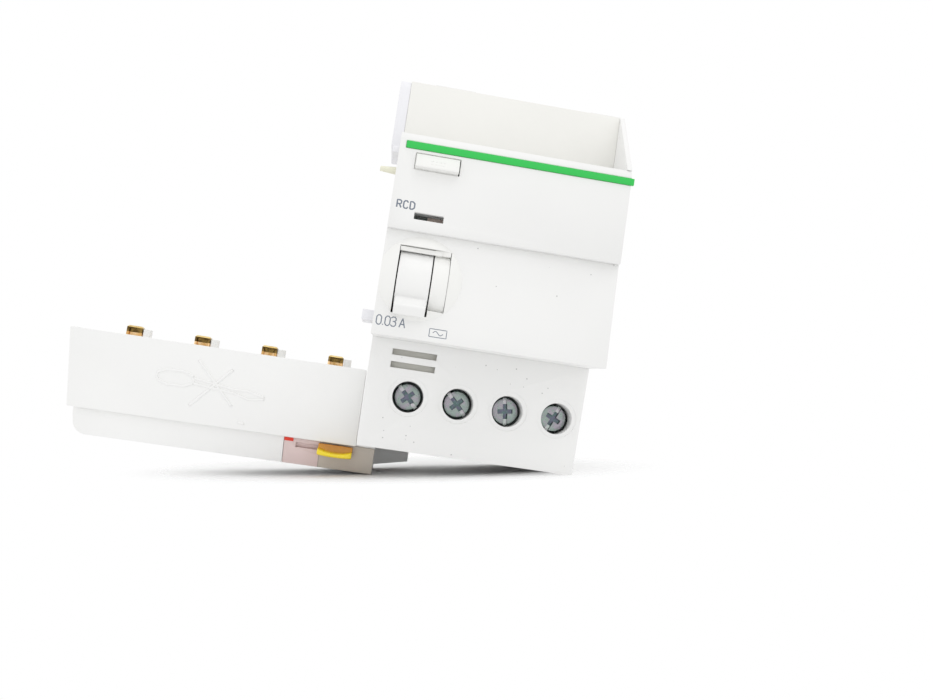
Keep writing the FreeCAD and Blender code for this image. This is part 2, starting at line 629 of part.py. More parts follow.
def terminal_shroud():
    """Lower front shell: shoulder with its screw holes and marker slots, and the cable tunnels' mouths."""
    outer = side_profile(shroud_outline(), -HALF, HALF)
    shell = outer.cut(side_profile(shroud_hollow(), -INNER, INNER))
    sleeves = [rod(SLEEVE_RADIUS, point(x, HOUSING_FRONT + SEAT_GAP, TERMINAL_HEIGHT),
                   point(x, LOWER_NOSE_HEAD, TERMINAL_HEIGHT)).common(outer) for x in TERMINALS]
    shell = fuse([shell] + sleeves)
    below = UNIT_BOTTOM - OVERCUT
    tools = screw_openings()
    tools.append(block(-HALF - OVERCUT, CASING_RIGHT + FIT_GAP, SEAM_DEPTH - OVERCUT, CASING_FRONT + NOTCH_GAP,
                       below, NOTCH_TOP))
    tools += [block(*MARKER_SLOT_X, HOUSING_FRONT, LOWER_SHOULDER_HEAD + OVERCUT, *heights)
              for heights in MARKER_SLOT_HEIGHTS]
    tools += [block(x - CHAMBER_HALF, x + CHAMBER_HALF, TUNNEL_BACK, TUNNEL_FRONT, below,
                    UNIT_BOTTOM + WALL + SEAT_GAP) for x in TERMINALS]
    return cut(shell, tools)


def upper_fascia():
    """Proud front plate of the upper nose, with its roof, stripe groove, button and window openings."""
    plate = side_profile([(FASCIA_SEAT, NOSE_STEP), (UPPER_NOSE, NOSE_STEP),
                          (UPPER_NOSE, NOSE_TOP - FASCIA_LEAN_HEIGHT),
                          (UPPER_NOSE - FASCIA_LEAN_DEPTH, NOSE_TOP), (FASCIA_SEAT, NOSE_TOP)], -HALF, HALF)
    roof = block(-HALF, HALF, TOP_SHOULDER, FASCIA_SEAT, NOSE_TOP - FASCIA_ROOF, NOSE_TOP)
    behind = FASCIA_SEAT - OVERCUT
    tools = [
        block(STRIPE_LEFT - STRIPE_GAP, HALF + OVERCUT, UPPER_NOSE - STRIPE_SUNK, UPPER_NOSE + OVERCUT,
              STRIPE_LOW - STRIPE_GAP, STRIPE_HIGH + STRIPE_GAP),
        button_room(behind),
        block(WINDOW_LEFT, WINDOW_RIGHT, behind, UPPER_NOSE + OVERCUT, WINDOW_LOW, WINDOW_HIGH),
        block(WINDOW_LEFT - WINDOW_LEDGE, WINDOW_RIGHT + WINDOW_LEDGE, behind,
              FASCIA_SEAT + LENS_THICKNESS, WINDOW_LOW - WINDOW_LEDGE, WINDOW_HIGH + WINDOW_LEDGE),
    ]
    return cut(plate.fuse(roof), tools)


def top_shoulder_cover():
    """Plate that faces the upper shoulder."""
    return block(-HALF, HALF - CHEEK_THICKNESS, TOP_PLATE_SEAT, TOP_SHOULDER, NOSE_TOP, UNIT_TOP)


def colour_stripe():
    """Coloured band let into the fascia, its end just past the side."""
    return block(STRIPE_LEFT, HALF + STRIPE_OVERHANG, UPPER_NOSE - STRIPE_SUNK, UPPER_NOSE + STRIPE_PROUD,
                 STRIPE_LOW, STRIPE_HIGH)


def test_button():
    """Wedge-shaped button: flush at its top edge, proud at its lower edge, with flange and stem."""
    nose = UPPER_NOSE + BUTTON_PROUD
    cap = side_profile([(BUTTON_BACK, BUTTON_LOW), (nose, BUTTON_LOW),
                        (nose - BUTTON_NOSE_LEAN, BUTTON_LOW + BUTTON_NOSE),
                        (UPPER_NOSE + BUTTON_TOP_PROUD, BUTTON_HIGH), (BUTTON_BACK, BUTTON_HIGH)],
                       BUTTON_LEFT, BUTTON_RIGHT)
    flange = block(BUTTON_LEFT - BUTTON_FLANGE_LIP, BUTTON_RIGHT + BUTTON_FLANGE_LIP,
                   BUTTON_BACK - BUTTON_FLANGE, BUTTON_BACK, BUTTON_LOW - BUTTON_FLANGE_LIP,
                   BUTTON_HIGH + BUTTON_FLANGE_LIP)
    centre = (BUTTON_LEFT + BUTTON_RIGHT) / 2
    height = (BUTTON_LOW + BUTTON_HIGH) / 2
    stem = rod(BUTTON_STEM_RADIUS, point(centre, BUTTON_STEM_TIP, height), point(centre, BUTTON_BACK, height))
    return fuse([cap, flange, stem])


def test_button_spring():
    """Return spring round the button's stem."""
    centre = (BUTTON_LEFT + BUTTON_RIGHT) / 2
    height = (BUTTON_LOW + BUTTON_HIGH) / 2
    length = BUTTON_BACK - BUTTON_FLANGE - BUTTON_SPRING_SEAT - 2 * SPRING_END
    return coil(BUTTON_SPRING_RADIUS, point(centre, BUTTON_SPRING_SEAT + SPRING_END, height), length,
                BUTTON_SPRING_TURNS, FreeCAD.Vector(0, -1, 0))


def test_contact():
    """Leaf contact that the test button's stem pushes, with its tail to the board."""
    height = (BUTTON_LOW + BUTTON_HIGH) / 2
    tail_right = BOARD_X[0] + CONTACT_TAIL + SPRING_END
    leaf = block(BUTTON_LEFT + CONTACT_TAIL, tail_right, CONTACT_BACK, CONTACT_FRONT, height - CONTACT_DROP,
                 height + CONTACT_RISE)
    tail = block(tail_right - CONTACT_TAIL, tail_right, CONTACT_BACK, BOARD_DEPTH, height - CONTACT_DROP,
                 height + CONTACT_RISE)
    return fuse([leaf, tail])


def window_lens():
    """Clear pane behind the window opening."""
    ledge = WINDOW_LEDGE - RUNNING_GAP
    return block(WINDOW_LEFT - ledge, WINDOW_RIGHT + ledge, FASCIA_SEAT, FASCIA_SEAT + LENS_THICKNESS,
                 WINDOW_LOW - ledge, WINDOW_HIGH + ledge)


def fault_flag():
    """Two-tone flag that slides behind the window."""
    flag = block(WINDOW_LEFT - FLAG_LAP, WINDOW_RIGHT + FLAG_TRAVEL + FLAG_LAP, FLAG_FRONT - FLAG_THICKNESS,
                 FLAG_FRONT, WINDOW_LOW - FLAG_MARGIN, WINDOW_HIGH + FLAG_MARGIN)
    stem = block(*FLAG_STEM, FLAG_FRONT - 2 * FLAG_THICKNESS, FLAG_FRONT - FLAG_THICKNESS, FLAG_STEM_LOW,
                 WINDOW_HIGH + FLAG_MARGIN)
    return fuse([flag, stem])


def toggle_handle():
    """Barrel and handle of the toggle, tripped position."""
    barrel = rod(TOGGLE_RADIUS, point(TOGGLE_LEFT, TOGGLE_AXIS, TOGGLE_HEIGHT),
                 point(TOGGLE_RIGHT, TOGGLE_AXIS, TOGGLE_HEIGHT))
    bar = block(TOGGLE_LEFT + HANDLE_INSET, TOGGLE_RIGHT - HANDLE_INSET, TOGGLE_AXIS,
                TOGGLE_AXIS + HANDLE_REACH, TOGGLE_HEIGHT - HANDLE_THICKNESS / 2,
                TOGGLE_HEIGHT + HANDLE_THICKNESS / 2)
    tip = bar.BoundBox.YMin + RUNNING_GAP
    edges = [edge for edge in bar.Edges if edge.BoundBox.YMax < tip and edge.BoundBox.ZLength < RUNNING_GAP]
    bar = bar.makeFillet(HANDLE_ROUND, edges)
    bar.rotate(point(0, TOGGLE_AXIS, TOGGLE_HEIGHT), FreeCAD.Vector(1, 0, 0), HANDLE_ANGLE)
    hole = rod(AXLE_RADIUS + RUNNING_GAP, point(TOGGLE_LEFT - OVERCUT, TOGGLE_AXIS, TOGGLE_HEIGHT),
               point(TOGGLE_RIGHT + OVERCUT, TOGGLE_AXIS, TOGGLE_HEIGHT))
    return cut(barrel.fuse(bar), [hole])


def toggle_axle():
    """Steel pin that the toggle turns on."""
    return rod(AXLE_RADIUS, point(-INNER + 2 * SEAT_GAP, TOGGLE_AXIS, TOGGLE_HEIGHT),
               point(TOGGLE_RIGHT + FIT_GAP + BEARING_THICKNESS, TOGGLE_AXIS, TOGGLE_HEIGHT))


def toggle_bezel():
    """Domed round surround of the toggle, trimmed at the unit's side and at the upper fascia."""
    sphere_radius = (BEZEL_RADIUS ** 2 + BEZEL_RISE ** 2) / (2 * BEZEL_RISE)
    crown = (LOWER_NOSE_HEAD + LOWER_NOSE_FOOT) / 2 + BEZEL_RISE
    ball = Part.makeSphere(sphere_radius, point(BEZEL_CENTRE, crown - sphere_radius, TOGGLE_HEIGHT))
    keep = block(-HALF, BEZEL_CENTRE + BEZEL_RADIUS + OVERCUT, LOWER_NOSE_HEAD - OVERCUT, crown + OVERCUT,
                 TOGGLE_HEIGHT - BEZEL_RADIUS - OVERCUT, NOSE_STEP - SEAT_GAP)
    nose = side_profile(cover_outline(), -HALF - OVERCUT, HALF + OVERCUT)
    return cut(ball.common(keep).cut(nose), [toggle_opening()])


def toggle_side_cheek():
    """Fixed curved filler beside the handle, with the stop bar across the top of the handle's slot."""
    left = TOGGLE_RIGHT + FIT_GAP
    right = TOGGLE_SLOT_RIGHT - SEAT_GAP
    top = TOGGLE_HEIGHT + TOGGLE_SLOT_HALF - SEAT_GAP
    barrel = rod(TOGGLE_RADIUS, point(left, TOGGLE_AXIS, TOGGLE_HEIGHT),
                 point(right, TOGGLE_AXIS, TOGGLE_HEIGHT))
    keep = block(left, right, TOGGLE_AXIS + BEARING_HALF_DEPTH, TOGGLE_AXIS + TOGGLE_RADIUS + OVERCUT,
                 TOGGLE_HEIGHT - CHEEK_LOW + SEAT_GAP, top)
    bar_low = top - STOP_BAR_HEIGHT - SEAT_GAP
    web_back = TOGGLE_AXIS + BEARING_HALF_DEPTH
    web = block(left, left + BEARING_THICKNESS, web_back, web_back + BEARING_THICKNESS, TOGGLE_HEIGHT, top)
    root = block(left, left + BEARING_THICKNESS, web_back, STOP_BAR_FRONT, bar_low, top)
    stop_bar = block(TOGGLE_SLOT_LEFT + SEAT_GAP, left, STOP_BAR_BACK, STOP_BAR_FRONT, bar_low, top - SEAT_GAP)
    return fuse([barrel.common(keep), web, root, stop_bar])


def trip_lever():
    """Lever beside the left wall with a crossbar and the finger that the relay pushes."""
    left = -INNER + FIT_GAP
    right = left + TRIP_LEVER_THICKNESS
    hub = rod(TRIP_LEVER_HALF, point(left, TRIP_DEPTH, TRIP_PIVOT), point(right, TRIP_DEPTH, TRIP_PIVOT))
    arm = block(left, right, TRIP_DEPTH - TRIP_ARM_HALF, TRIP_DEPTH + TRIP_ARM_HALF, TRIP_PIVOT,
                TRIP_PIN_HEIGHT + TRIP_ARM_RISE)
    link = block(left, right, CROSSBAR_DEPTH[0], TRIP_DEPTH, *CROSSBAR_HEIGHT)
    crossbar = block(left, FINGER_X[1], *CROSSBAR_DEPTH, *CROSSBAR_HEIGHT)
    finger = block(*FINGER_X, FINGER_BACK, CROSSBAR_DEPTH[1], *FINGER_HEIGHT)
    hole = rod(TRIP_AXLE_RADIUS + RUNNING_GAP, point(left - OVERCUT, TRIP_DEPTH, TRIP_PIVOT),
               point(right + OVERCUT, TRIP_DEPTH, TRIP_PIVOT))
    return cut(fuse([hub, arm, link, crossbar, finger]), [hole])


def trip_pin():
    """Tapered pin that reaches through the side wall into the breaker."""
    root = point(-INNER + FIT_GAP, TRIP_DEPTH, TRIP_PIN_HEIGHT)
    return Part.makeCone(TRIP_PIN_ROOT, TRIP_PIN_TIP, HALF + TRIP_PIN_REACH - INNER + FIT_GAP, root,
                         FreeCAD.Vector(-1, 0, 0))


def trip_axle():
    """Pivot pin of the trip lever."""
    return rod(TRIP_AXLE_RADIUS, point(-INNER, TRIP_DEPTH, TRIP_PIVOT),
               point(-INNER + FIT_GAP + TRIP_LEVER_THICKNESS + OVERCUT, TRIP_DEPTH, TRIP_PIVOT))


def relay_case():
    """Case of the trip relay, hollow round its plunger."""
    case = block(*RELAY_X, *RELAY_DEPTH, *RELAY_HEIGHT)
    low = point(PLUNGER_X, PLUNGER_DEPTH, RELAY_HEIGHT[0] - OVERCUT)
    waist = point(PLUNGER_X, PLUNGER_DEPTH, RELAY_HEIGHT[0] + WALL)
    top = point(PLUNGER_X, PLUNGER_DEPTH, PLUNGER_HEAD_LOW + PLUNGER_HEAD_THICKNESS + FIT_GAP)
    bore = rod(PLUNGER_HEAD_RADIUS + PLUNGER_BORE_GAP, waist, top)
    return cut(case, [rod(PLUNGER_RADIUS + RUNNING_GAP, low, waist), bore])


def relay_plunger():
    """Plunger with its head inside the relay."""
    head_low = point(PLUNGER_X, PLUNGER_DEPTH, PLUNGER_HEAD_LOW)
    head_high = point(PLUNGER_X, PLUNGER_DEPTH, PLUNGER_HEAD_LOW + PLUNGER_HEAD_THICKNESS)
    stem = rod(PLUNGER_RADIUS, point(PLUNGER_X, PLUNGER_DEPTH, PLUNGER_TIP), head_low)
    return fuse([stem, rod(PLUNGER_HEAD_RADIUS, head_low, head_high)])


def relay_spring():
    """Spring under the plunger's head."""
    start = RELAY_HEIGHT[0] + WALL + SPRING_END
    length = PLUNGER_HEAD_LOW - SPRING_END - start
    return coil(RELAY_SPRING_RADIUS, point(PLUNGER_X, PLUNGER_DEPTH, start), length, RELAY_SPRING_TURNS,
                FreeCAD.Vector(0, 0, 1))


def toroid_core():
    """Ring core of the summation transformer."""
    low = point(CORE_X, CORE_DEPTH, CORE_LOW)
    high = point(CORE_X, CORE_DEPTH, CORE_HIGH)
    return rod(CORE_OUTER, low, high).cut(rod(CORE_INNER, low, high))


def toroid_winding():
    """Secondary winding: one closed loop round the core for each bundle of turns."""
    wrap = TURN_GAP + TURN_THICKNESS
    outer = block(CORE_X + CORE_INNER - wrap, CORE_X + CORE_OUTER + wrap, CORE_DEPTH - TURN_WIDTH / 2,
                  CORE_DEPTH + TURN_WIDTH / 2, CORE_LOW - wrap, CORE_HIGH + wrap)
    low = point(CORE_X, CORE_DEPTH, CORE_LOW - TURN_GAP)
    high = point(CORE_X, CORE_DEPTH, CORE_HIGH + TURN_GAP)
    room = rod(CORE_OUTER + TURN_GAP, low, high).cut(rod(CORE_INNER - TURN_GAP, low, high))
    loop = outer.cut(room)
    loops = []
    for turn in range(TURNS):
        copy = loop.copy()
        copy.rotate(point(CORE_X, CORE_DEPTH, 0), FreeCAD.Vector(0, 0, 1), 360.0 * turn / TURNS)
        loops.append(copy)
    return Part.makeCompound(loops)


def wire_run(corners, radius):
    """Round conductor through a list of corners."""
    pieces = [rod(radius, start, end) for start, end in zip(corners, corners[1:])]
    pieces += [Part.makeSphere(radius, corner) for corner in corners[1:-1]]
    return fuse(pieces)


def conductor(pole):
    """One pole's conductor: up from its braid, over and down through the core, and out to its terminal."""
    hole_x = CORE_X + (CONDUCTOR_SPREAD if pole in (2, 3) else -CONDUCTOR_SPREAD)
    hole_depth = CORE_DEPTH + (CONDUCTOR_SPREAD if pole in (1, 3) else -CONDUCTOR_SPREAD)
    bar_depth = BAR_BACK + BAR_THICKNESS / 2
    over = CONDUCTOR_PLANES[pole]
    under = RETURN_PLANES[pole]
    corners = [
        point(RISERS[pole], RISER_DEPTH, BRAID_TOP), point(RISERS[pole], RISER_DEPTH, over),
        point(RISERS[pole], hole_depth, over), point(hole_x, hole_depth, over),
        point(hole_x, hole_depth, under), point(TERMINALS[pole], hole_depth, under),
        point(TERMINALS[pole], bar_depth, under), point(TERMINALS[pole], bar_depth, BAR_TOP),
    ]
    return wire_run(corners, CONDUCTOR_RADIUS)


def circuit_board():
    """Board that carries the test circuit."""
    return block(*BOARD_X, BOARD_DEPTH, BOARD_DEPTH + BOARD_THICKNESS, *BOARD_HEIGHT)


def test_resistor():
    """Test resistor with its two leads to the board."""
    centre = BOARD_DEPTH - RESISTOR_RADIUS - RESISTOR_STANDOFF
    body = rod(RESISTOR_RADIUS, point(RESISTOR_X[0], centre, RESISTOR_HEIGHT),
               point(RESISTOR_X[1], centre, RESISTOR_HEIGHT))
    leads = []
    for end, outward in zip(RESISTOR_X, (-1, 1)):
        root = point(end - outward * RESISTOR_LEAD_ROOT, centre, RESISTOR_HEIGHT)
        bend = point(end + outward * RESISTOR_LEAD_REACH, centre, RESISTOR_HEIGHT)
        foot = point(end + outward * RESISTOR_LEAD_REACH, BOARD_DEPTH, RESISTOR_HEIGHT)
        leads.append(wire_run([root, bend, foot], RESISTOR_LEAD))
    return fuse([body] + leads)


def marker_backing():
    """Grey insert behind the two marker slots."""
    outline = []
    for z in (SHOULDER_TOP - FIT_GAP, MARKER_BACKING_LOW):
        outline.append((shoulder_depth(z) - WALL - MARKER_BACKING_GAP, z))
    for z in (MARKER_BACKING_LOW, SHOULDER_TOP - FIT_GAP):
        outline.append((shoulder_depth(z) - WALL - MARKER_BACKING_GAP - MARKER_BACKING_THICKNESS, z))
    return side_profile(outline, *MARKER_BACKING_X)


def terminal_housing():
    """Insulator with one chamber and one cable tunnel for each pole."""
    body = block(HOUSING_LEFT, HOUSING_RIGHT, HOUSING_BACK, HOUSING_FRONT, UNIT_BOTTOM + WALL + SEAT_GAP,
                 HOUSING_TOP)
    tools = []
    for x in TERMINALS:
        tools += [
            block(x - CHAMBER_HALF, x + CHAMBER_HALF, CHAMBER_BACK, CHAMBER_FRONT, CHAMBER_BOTTOM, CHAMBER_TOP),
            block(x - CHAMBER_HALF, x + CHAMBER_HALF, TUNNEL_BACK, TUNNEL_FRONT, UNIT_BOTTOM,
                  CHAMBER_BOTTOM + OVERCUT),
            block(x - BAR_HALF - SEAT_GAP, x + BAR_HALF + SEAT_GAP, BAR_BACK - SEAT_GAP,
                  BAR_BACK + BAR_THICKNESS + SEAT_GAP, CHAMBER_TOP - OVERCUT, HOUSING_TOP + OVERCUT),
            rod(SCREW_SHANK_RADIUS + FIT_GAP, point(x, CHAMBER_FRONT - OVERCUT, TERMINAL_HEIGHT),
                point(x, HOUSING_FRONT + OVERCUT, TERMINAL_HEIGHT)),
        ]
    for x, z in LOW_SCREWS:
        tools.append(rod(CASE_SCREW_RADIUS + RUNNING_GAP, point(x, HOUSING_BACK - OVERCUT, z),
                         point(x, LOW_SCREW_TIP + TIP_ROOM, z)))
    return cut(body, tools)


def terminal_bars():
    """Bars that the cables are clamped against."""
    bars = [block(x - BAR_HALF, x + BAR_HALF, BAR_BACK, BAR_BACK + BAR_THICKNESS, BAR_BOTTOM, BAR_TOP)
            for x in TERMINALS]
    return Part.makeCompound(bars)


def terminal_cage(x):
    """Rising cage, opened fully."""
    low = TERMINAL_HEIGHT - CAGE_HALF_HEIGHT
    high = TERMINAL_HEIGHT + CAGE_HALF_HEIGHT
    body = block(x - CAGE_HALF, x + CAGE_HALF, CAGE_BACK, CAGE_FRONT, low, high)
    window = block(x - CAGE_HALF + CAGE_WALL, x + CAGE_HALF - CAGE_WALL, CAGE_BACK + CAGE_REAR_WALL,
                   CAGE_FRONT - CAGE_FRONT_WALL, low - OVERCUT, high + OVERCUT)
    thread_back = CAGE_BACK + CAGE_REAR_WALL + OVERCUT
    thread = rod(SCREW_SHANK_RADIUS + RUNNING_GAP, point(x, thread_back, TERMINAL_HEIGHT),
                 point(x, CAGE_FRONT + OVERCUT, TERMINAL_HEIGHT))
    return cut(body, [window, thread])


def terminal_screw(x, angle):
    """Captive screw with a combined slot and cross recess."""
    seat = HOUSING_FRONT + RUNNING_GAP
    head = rod(SCREW_HEAD_RADIUS, point(x, seat, TERMINAL_HEIGHT), point(x, SCREW_HEAD_FRONT, TERMINAL_HEIGHT))
    rim = max(head.Edges, key=lambda edge: -edge.CenterOfMass.y)
    head = head.makeChamfer(SCREW_HEAD_CHAMFER, [rim])
    shank = rod(SCREW_SHANK_RADIUS, point(x, SCREW_TIP, TERMINAL_HEIGHT), point(x, seat, TERMINAL_HEIGHT))
    cuts = (
        (SCREW_HEAD_RADIUS + OVERCUT, SCREW_SLOT / 2, SCREW_SLOT_DEPTH),
        (SCREW_CROSS_REACH, SCREW_CROSS / 2, SCREW_CROSS_DEPTH),
        (SCREW_CROSS / 2, SCREW_CROSS_REACH, SCREW_CROSS_DEPTH),
    )
    tools = []
    for reach, rise, sunk in cuts:
        tool = block(x - reach, x + reach, SCREW_HEAD_FRONT - sunk, SCREW_HEAD_FRONT + OVERCUT,
                     TERMINAL_HEIGHT - rise, TERMINAL_HEIGHT + rise)
        tool.rotate(point(x, 0, TERMINAL_HEIGHT), FreeCAD.Vector(0, -1, 0), angle)
        tools.append(tool)
    return cut(head.fuse(shank), tools)


def rail_clip():
    """Sliding foot that grips the rail's lower edge."""
    body = block(-CLIP_HALF_WIDTH, CLIP_HALF_WIDTH, CLIP_BACK, CLIP_FRONT, UNIT_BOTTOM,
                 -RAIL_HALF + CLIP_OVERLAP)
    back = CLIP_BACK - OVERCUT
    front = CLIP_FRONT + OVERCUT
    window = block(-CLIP_WINDOW_HALF, CLIP_WINDOW_HALF, back, front, CLIP_WINDOW_LOW, CLIP_WINDOW_HIGH)
    slot = block(-CLIP_SLOT_HALF, CLIP_SLOT_HALF, back, front, UNIT_BOTTOM + CLIP_SLOT_LOW,
                 UNIT_BOTTOM + CLIP_SLOT_HIGH)
    return cut(body, [window, slot])


def rail_clip_spring():
    """Spring between the base's stop and the clip."""
    middle = (CLIP_BACK + CLIP_FRONT) / 2
    return coil(CLIP_SPRING_RADIUS, point(0, middle, CLIP_STOP_HIGH + SPRING_END),
                CLIP_WINDOW_HIGH - CLIP_STOP_HIGH - 2 * SPRING_END, CLIP_SPRING_TURNS, FreeCAD.Vector(0, 0, 1))


def case_screws():
    """Screws that hold the two shells together."""
    screws = []
    head_back = -REAR_OFFSET + CASE_HEAD_SUNK
    head_seat = head_back + CASE_HEAD_THICKNESS
    places = [(x, z, TOP_SCREW_TIP) for x, z in TOP_SCREWS] + [(x, z, LOW_SCREW_TIP) for x, z in LOW_SCREWS]
    for x, z, tip in places:
        head = rod(CASE_HEAD_RADIUS, point(x, head_back, z), point(x, head_seat, z))
        shank = rod(CASE_SCREW_RADIUS, point(x, head_seat, z), point(x, tip, z))
        slot = block(x - CASE_HEAD_RADIUS, x + CASE_HEAD_RADIUS, head_back - OVERCUT,
                     head_back + CASE_SLOT_DEPTH, z - CASE_SLOT_HALF, z + CASE_SLOT_HALF)
        screws.append(cut(head.fuse(shank), [slot]))
    return Part.makeCompound(screws)


def side_flange():
    """Coupling flange at the top of the left side."""
    outline = [(FLANGE_BACK, FLANGE_LOW), (TOP_SHOULDER, FLANGE_LOW), (TOP_SHOULDER, UNIT_TOP - FLANGE_CORNER),
               (TOP_SHOULDER - FLANGE_CORNER_DEPTH, UNIT_TOP), (FLANGE_BACK, UNIT_TOP)]
    return side_profile(outline, -HALF - FLANGE_REACH, -HALF)


def side_lugs():
    """Small lugs on the left side."""
    lugs = [block(-HALF - reach, -HALF, back, front, low, high) for reach, back, front, low, high in SIDE_LUGS]
    return Part.makeCompound(lugs)


def casing_face(z):
    """Depth of the tray's front at a height; it rolls under in two steps."""
    if z > CASING_KNEE:
        return CASING_FRONT - CASING_KNEE_BACK * (CASING_TOP - z) / CASING_KNEE_DROP
    foot = (CASING_KNEE - z) / (CASING_KNEE - CASING_BOTTOM)
    return CASING_FRONT - CASING_KNEE_BACK - (CASING_FOOT_BACK - CASING_KNEE_BACK) * foot


def front_band(top, low, sunk, thickness):
    """Outline of a strip that follows the tray's front, seen from the side."""
    heights = [top, CASING_KNEE, low] if low < CASING_KNEE < top else [top, low]
    outline = [(casing_face(z) - sunk, z) for z in heights]
    return outline + [(casing_face(z) - sunk - thickness, z) for z in reversed(heights)]


def block_casing():
    """Tray under the breaker, with the tongue that reaches under the main unit."""
    left = BLOCK_LEFT + CASING_INSET
    below = CASING_BOTTOM - OVERCUT
    roof = CASING_TOP - CASING_WALL
    nose_back = CASING_FRONT - CASING_NOSE
    heights = (CASING_TOP, CASING_KNEE, CASING_BOTTOM)
    tray = side_profile([(CASING_BACK, CASING_BOTTOM), (CASING_BACK, CASING_TOP)]
                        + [(casing_face(z), z) for z in heights], left, CASING_RIGHT)
    root = CASING_RIGHT - CASING_WALL
    tongue = front_profile([(root, CASING_TOP), (CARRIAGE_RIGHT, CASING_TOP),
                            (CARRIAGE_RIGHT, CASING_BOTTOM + TONGUE_TIP),
                            (CASING_RIGHT, CASING_BOTTOM + TONGUE_HEEL), (root, CASING_BOTTOM + TONGUE_HEEL)],
                           CARRIAGE_BACK, CARRIAGE_FRONT)
    corner_x = left + CASING_CORNER
    corner_z = CASING_BOTTOM + CASING_CORNER
    corner = block(left - OVERCUT, corner_x, 0, CASING_FRONT + OVERCUT, below, corner_z)
    corner = corner.cut(rod(CASING_CORNER, point(corner_x, -OVERCUT, corner_z),
                            point(corner_x, CASING_FRONT + 2 * OVERCUT, corner_z)))
    duct_back = CARRIAGE_BACK + CASING_WALL
    duct_front = CARRIAGE_FRONT - CASING_WALL
    duct_right = CARRIAGE_RIGHT - CASING_WALL
    tools = [
        corner,
        block(left + CASING_CORNER, root, CASING_BACK + CASING_WALL, nose_back, below, roof),
        block(root - CASING_WALL, duct_right, duct_back, duct_front, below, roof),
        block(CARRIAGE_LEFT + CASING_WALL / 2, duct_right, duct_back, duct_front, roof - OVERCUT,
              CASING_TOP + OVERCUT),
        track_room(),
        strip_room(),
    ]
    tools += [block(x - PIN_HALF - SEAT_GAP, x + PIN_HALF + SEAT_GAP, PIN_BACK - SEAT_GAP,
                    PIN_BACK + PIN_THICKNESS + SEAT_GAP, roof - OVERCUT, CASING_TOP + OVERCUT)
              for x in BLOCK_PINS]
    return cut(tray.fuse(tongue), tools)


def track_room():
    """Shallow recess in the tray's front for the lock track."""
    outline = front_band(TRACK_TOP + SEAT_GAP, CASING_BOTTOM - OVERCUT, -OVERCUT,
                         OVERCUT + TRACK_SUNK + TRACK_THICKNESS + SEAT_GAP)
    return side_profile(outline, TRACK_LEFT - SEAT_GAP, CASING_RIGHT + OVERCUT)


def strip_room():
    """Room behind the track where the lock's dust strip slides."""
    room = 2 * STRIP_LAP + FIT_GAP
    outline = front_band(STEM_HIGH + room, STEM_LOW - room, TRACK_SUNK + TRACK_THICKNESS - SEAT_GAP,
                         STRIP_THICKNESS + 2 * FIT_GAP + SEAT_GAP)
    left = LOCK_STEM[0] - 2 * LOCK_TRAVEL - STRIP_END - FIT_GAP
    return side_profile(outline, left, LOCK_STEM[1] + STRIP_END + FIT_GAP)


def block_cover():
    """Plate that closes the tray from below."""
    left = BLOCK_LEFT + CASING_INSET + CASING_CORNER + SEAT_GAP
    return block(left, CASING_RIGHT - CASING_WALL - SEAT_GAP, CASING_BACK + CASING_WALL + SEAT_GAP,
                 CASING_FRONT - CASING_NOSE - SEAT_GAP, CASING_BOTTOM, CASING_BOTTOM + COVER_PLATE)


def block_carriage():
    """Guide tube that rises inside the main unit and carries the conductors."""
    body = block(CARRIAGE_LEFT, CARRIAGE_RIGHT, CARRIAGE_BACK, CARRIAGE_FRONT, CASING_TOP, CARRIAGE_TOP)
    bore = block(CARRIAGE_LEFT + CASING_WALL / 2, CARRIAGE_RIGHT - CASING_WALL / 2, CARRIAGE_BACK + CASING_WALL,
                 CARRIAGE_FRONT - CASING_WALL, CASING_TOP - OVERCUT, CARRIAGE_TOP + OVERCUT)
    return body.cut(bore)


def screw_shield():
    """Leaning front plate that hides the breaker's terminal screws, with its foot on the tray."""
    plate = side_profile([(SHIELD_TOP_DEPTH, SHIELD_TOP), (SHIELD_BOTTOM_DEPTH, SHIELD_BOTTOM),
                          (SHIELD_BOTTOM_DEPTH - SHIELD_THICKNESS, SHIELD_BOTTOM),
                          (SHIELD_TOP_DEPTH - SHIELD_THICKNESS, SHIELD_TOP)], BLOCK_LEFT, -HALF - FIT_GAP)
    foot = block(BLOCK_LEFT + SHIELD_FOOT_INSET, -HALF - SHIELD_FOOT_INSET, SHIELD_FOOT_BACK,
                 SHIELD_BOTTOM_DEPTH - SHIELD_THICKNESS / 2, CASING_TOP, CASING_TOP + SHIELD_FOOT)
    return fuse([plate, foot])


def contact_pin(x):
    """Blade that enters the breaker's terminal, with a pocket in its front."""
    front = PIN_BACK + PIN_THICKNESS
    blade = block(x - PIN_HALF, x + PIN_HALF, PIN_BACK, front, BUSBAR_LOW, PIN_TOP)
    top_edges = [edge for edge in blade.Edges if edge.BoundBox.ZMin > PIN_TOP - RUNNING_GAP]
    blade = blade.makeChamfer(PIN_CHAMFER, top_edges)
    pocket = block(x - PIN_RECESS_HALF, x + PIN_RECESS_HALF, front - PIN_RECESS_DEPTH, front + OVERCUT,
                   PIN_TOP - PIN_RECESS_LENGTH, PIN_TOP - PIN_RECESS_TOP)
    return blade.cut(pocket)


def pin_guards():
    """Insulating ribs beside the pins."""
    ribs = []
    for x in BLOCK_PINS:
        left = x + PIN_HALF + GUARD_STANDOFF
        ribs.append(block(left, left + GUARD_WIDTH, PIN_BACK + GUARD_SETBACK,
                          PIN_BACK + PIN_THICKNESS - GUARD_SETBACK, CASING_TOP, GUARD_TOP))
    return Part.makeCompound(ribs)


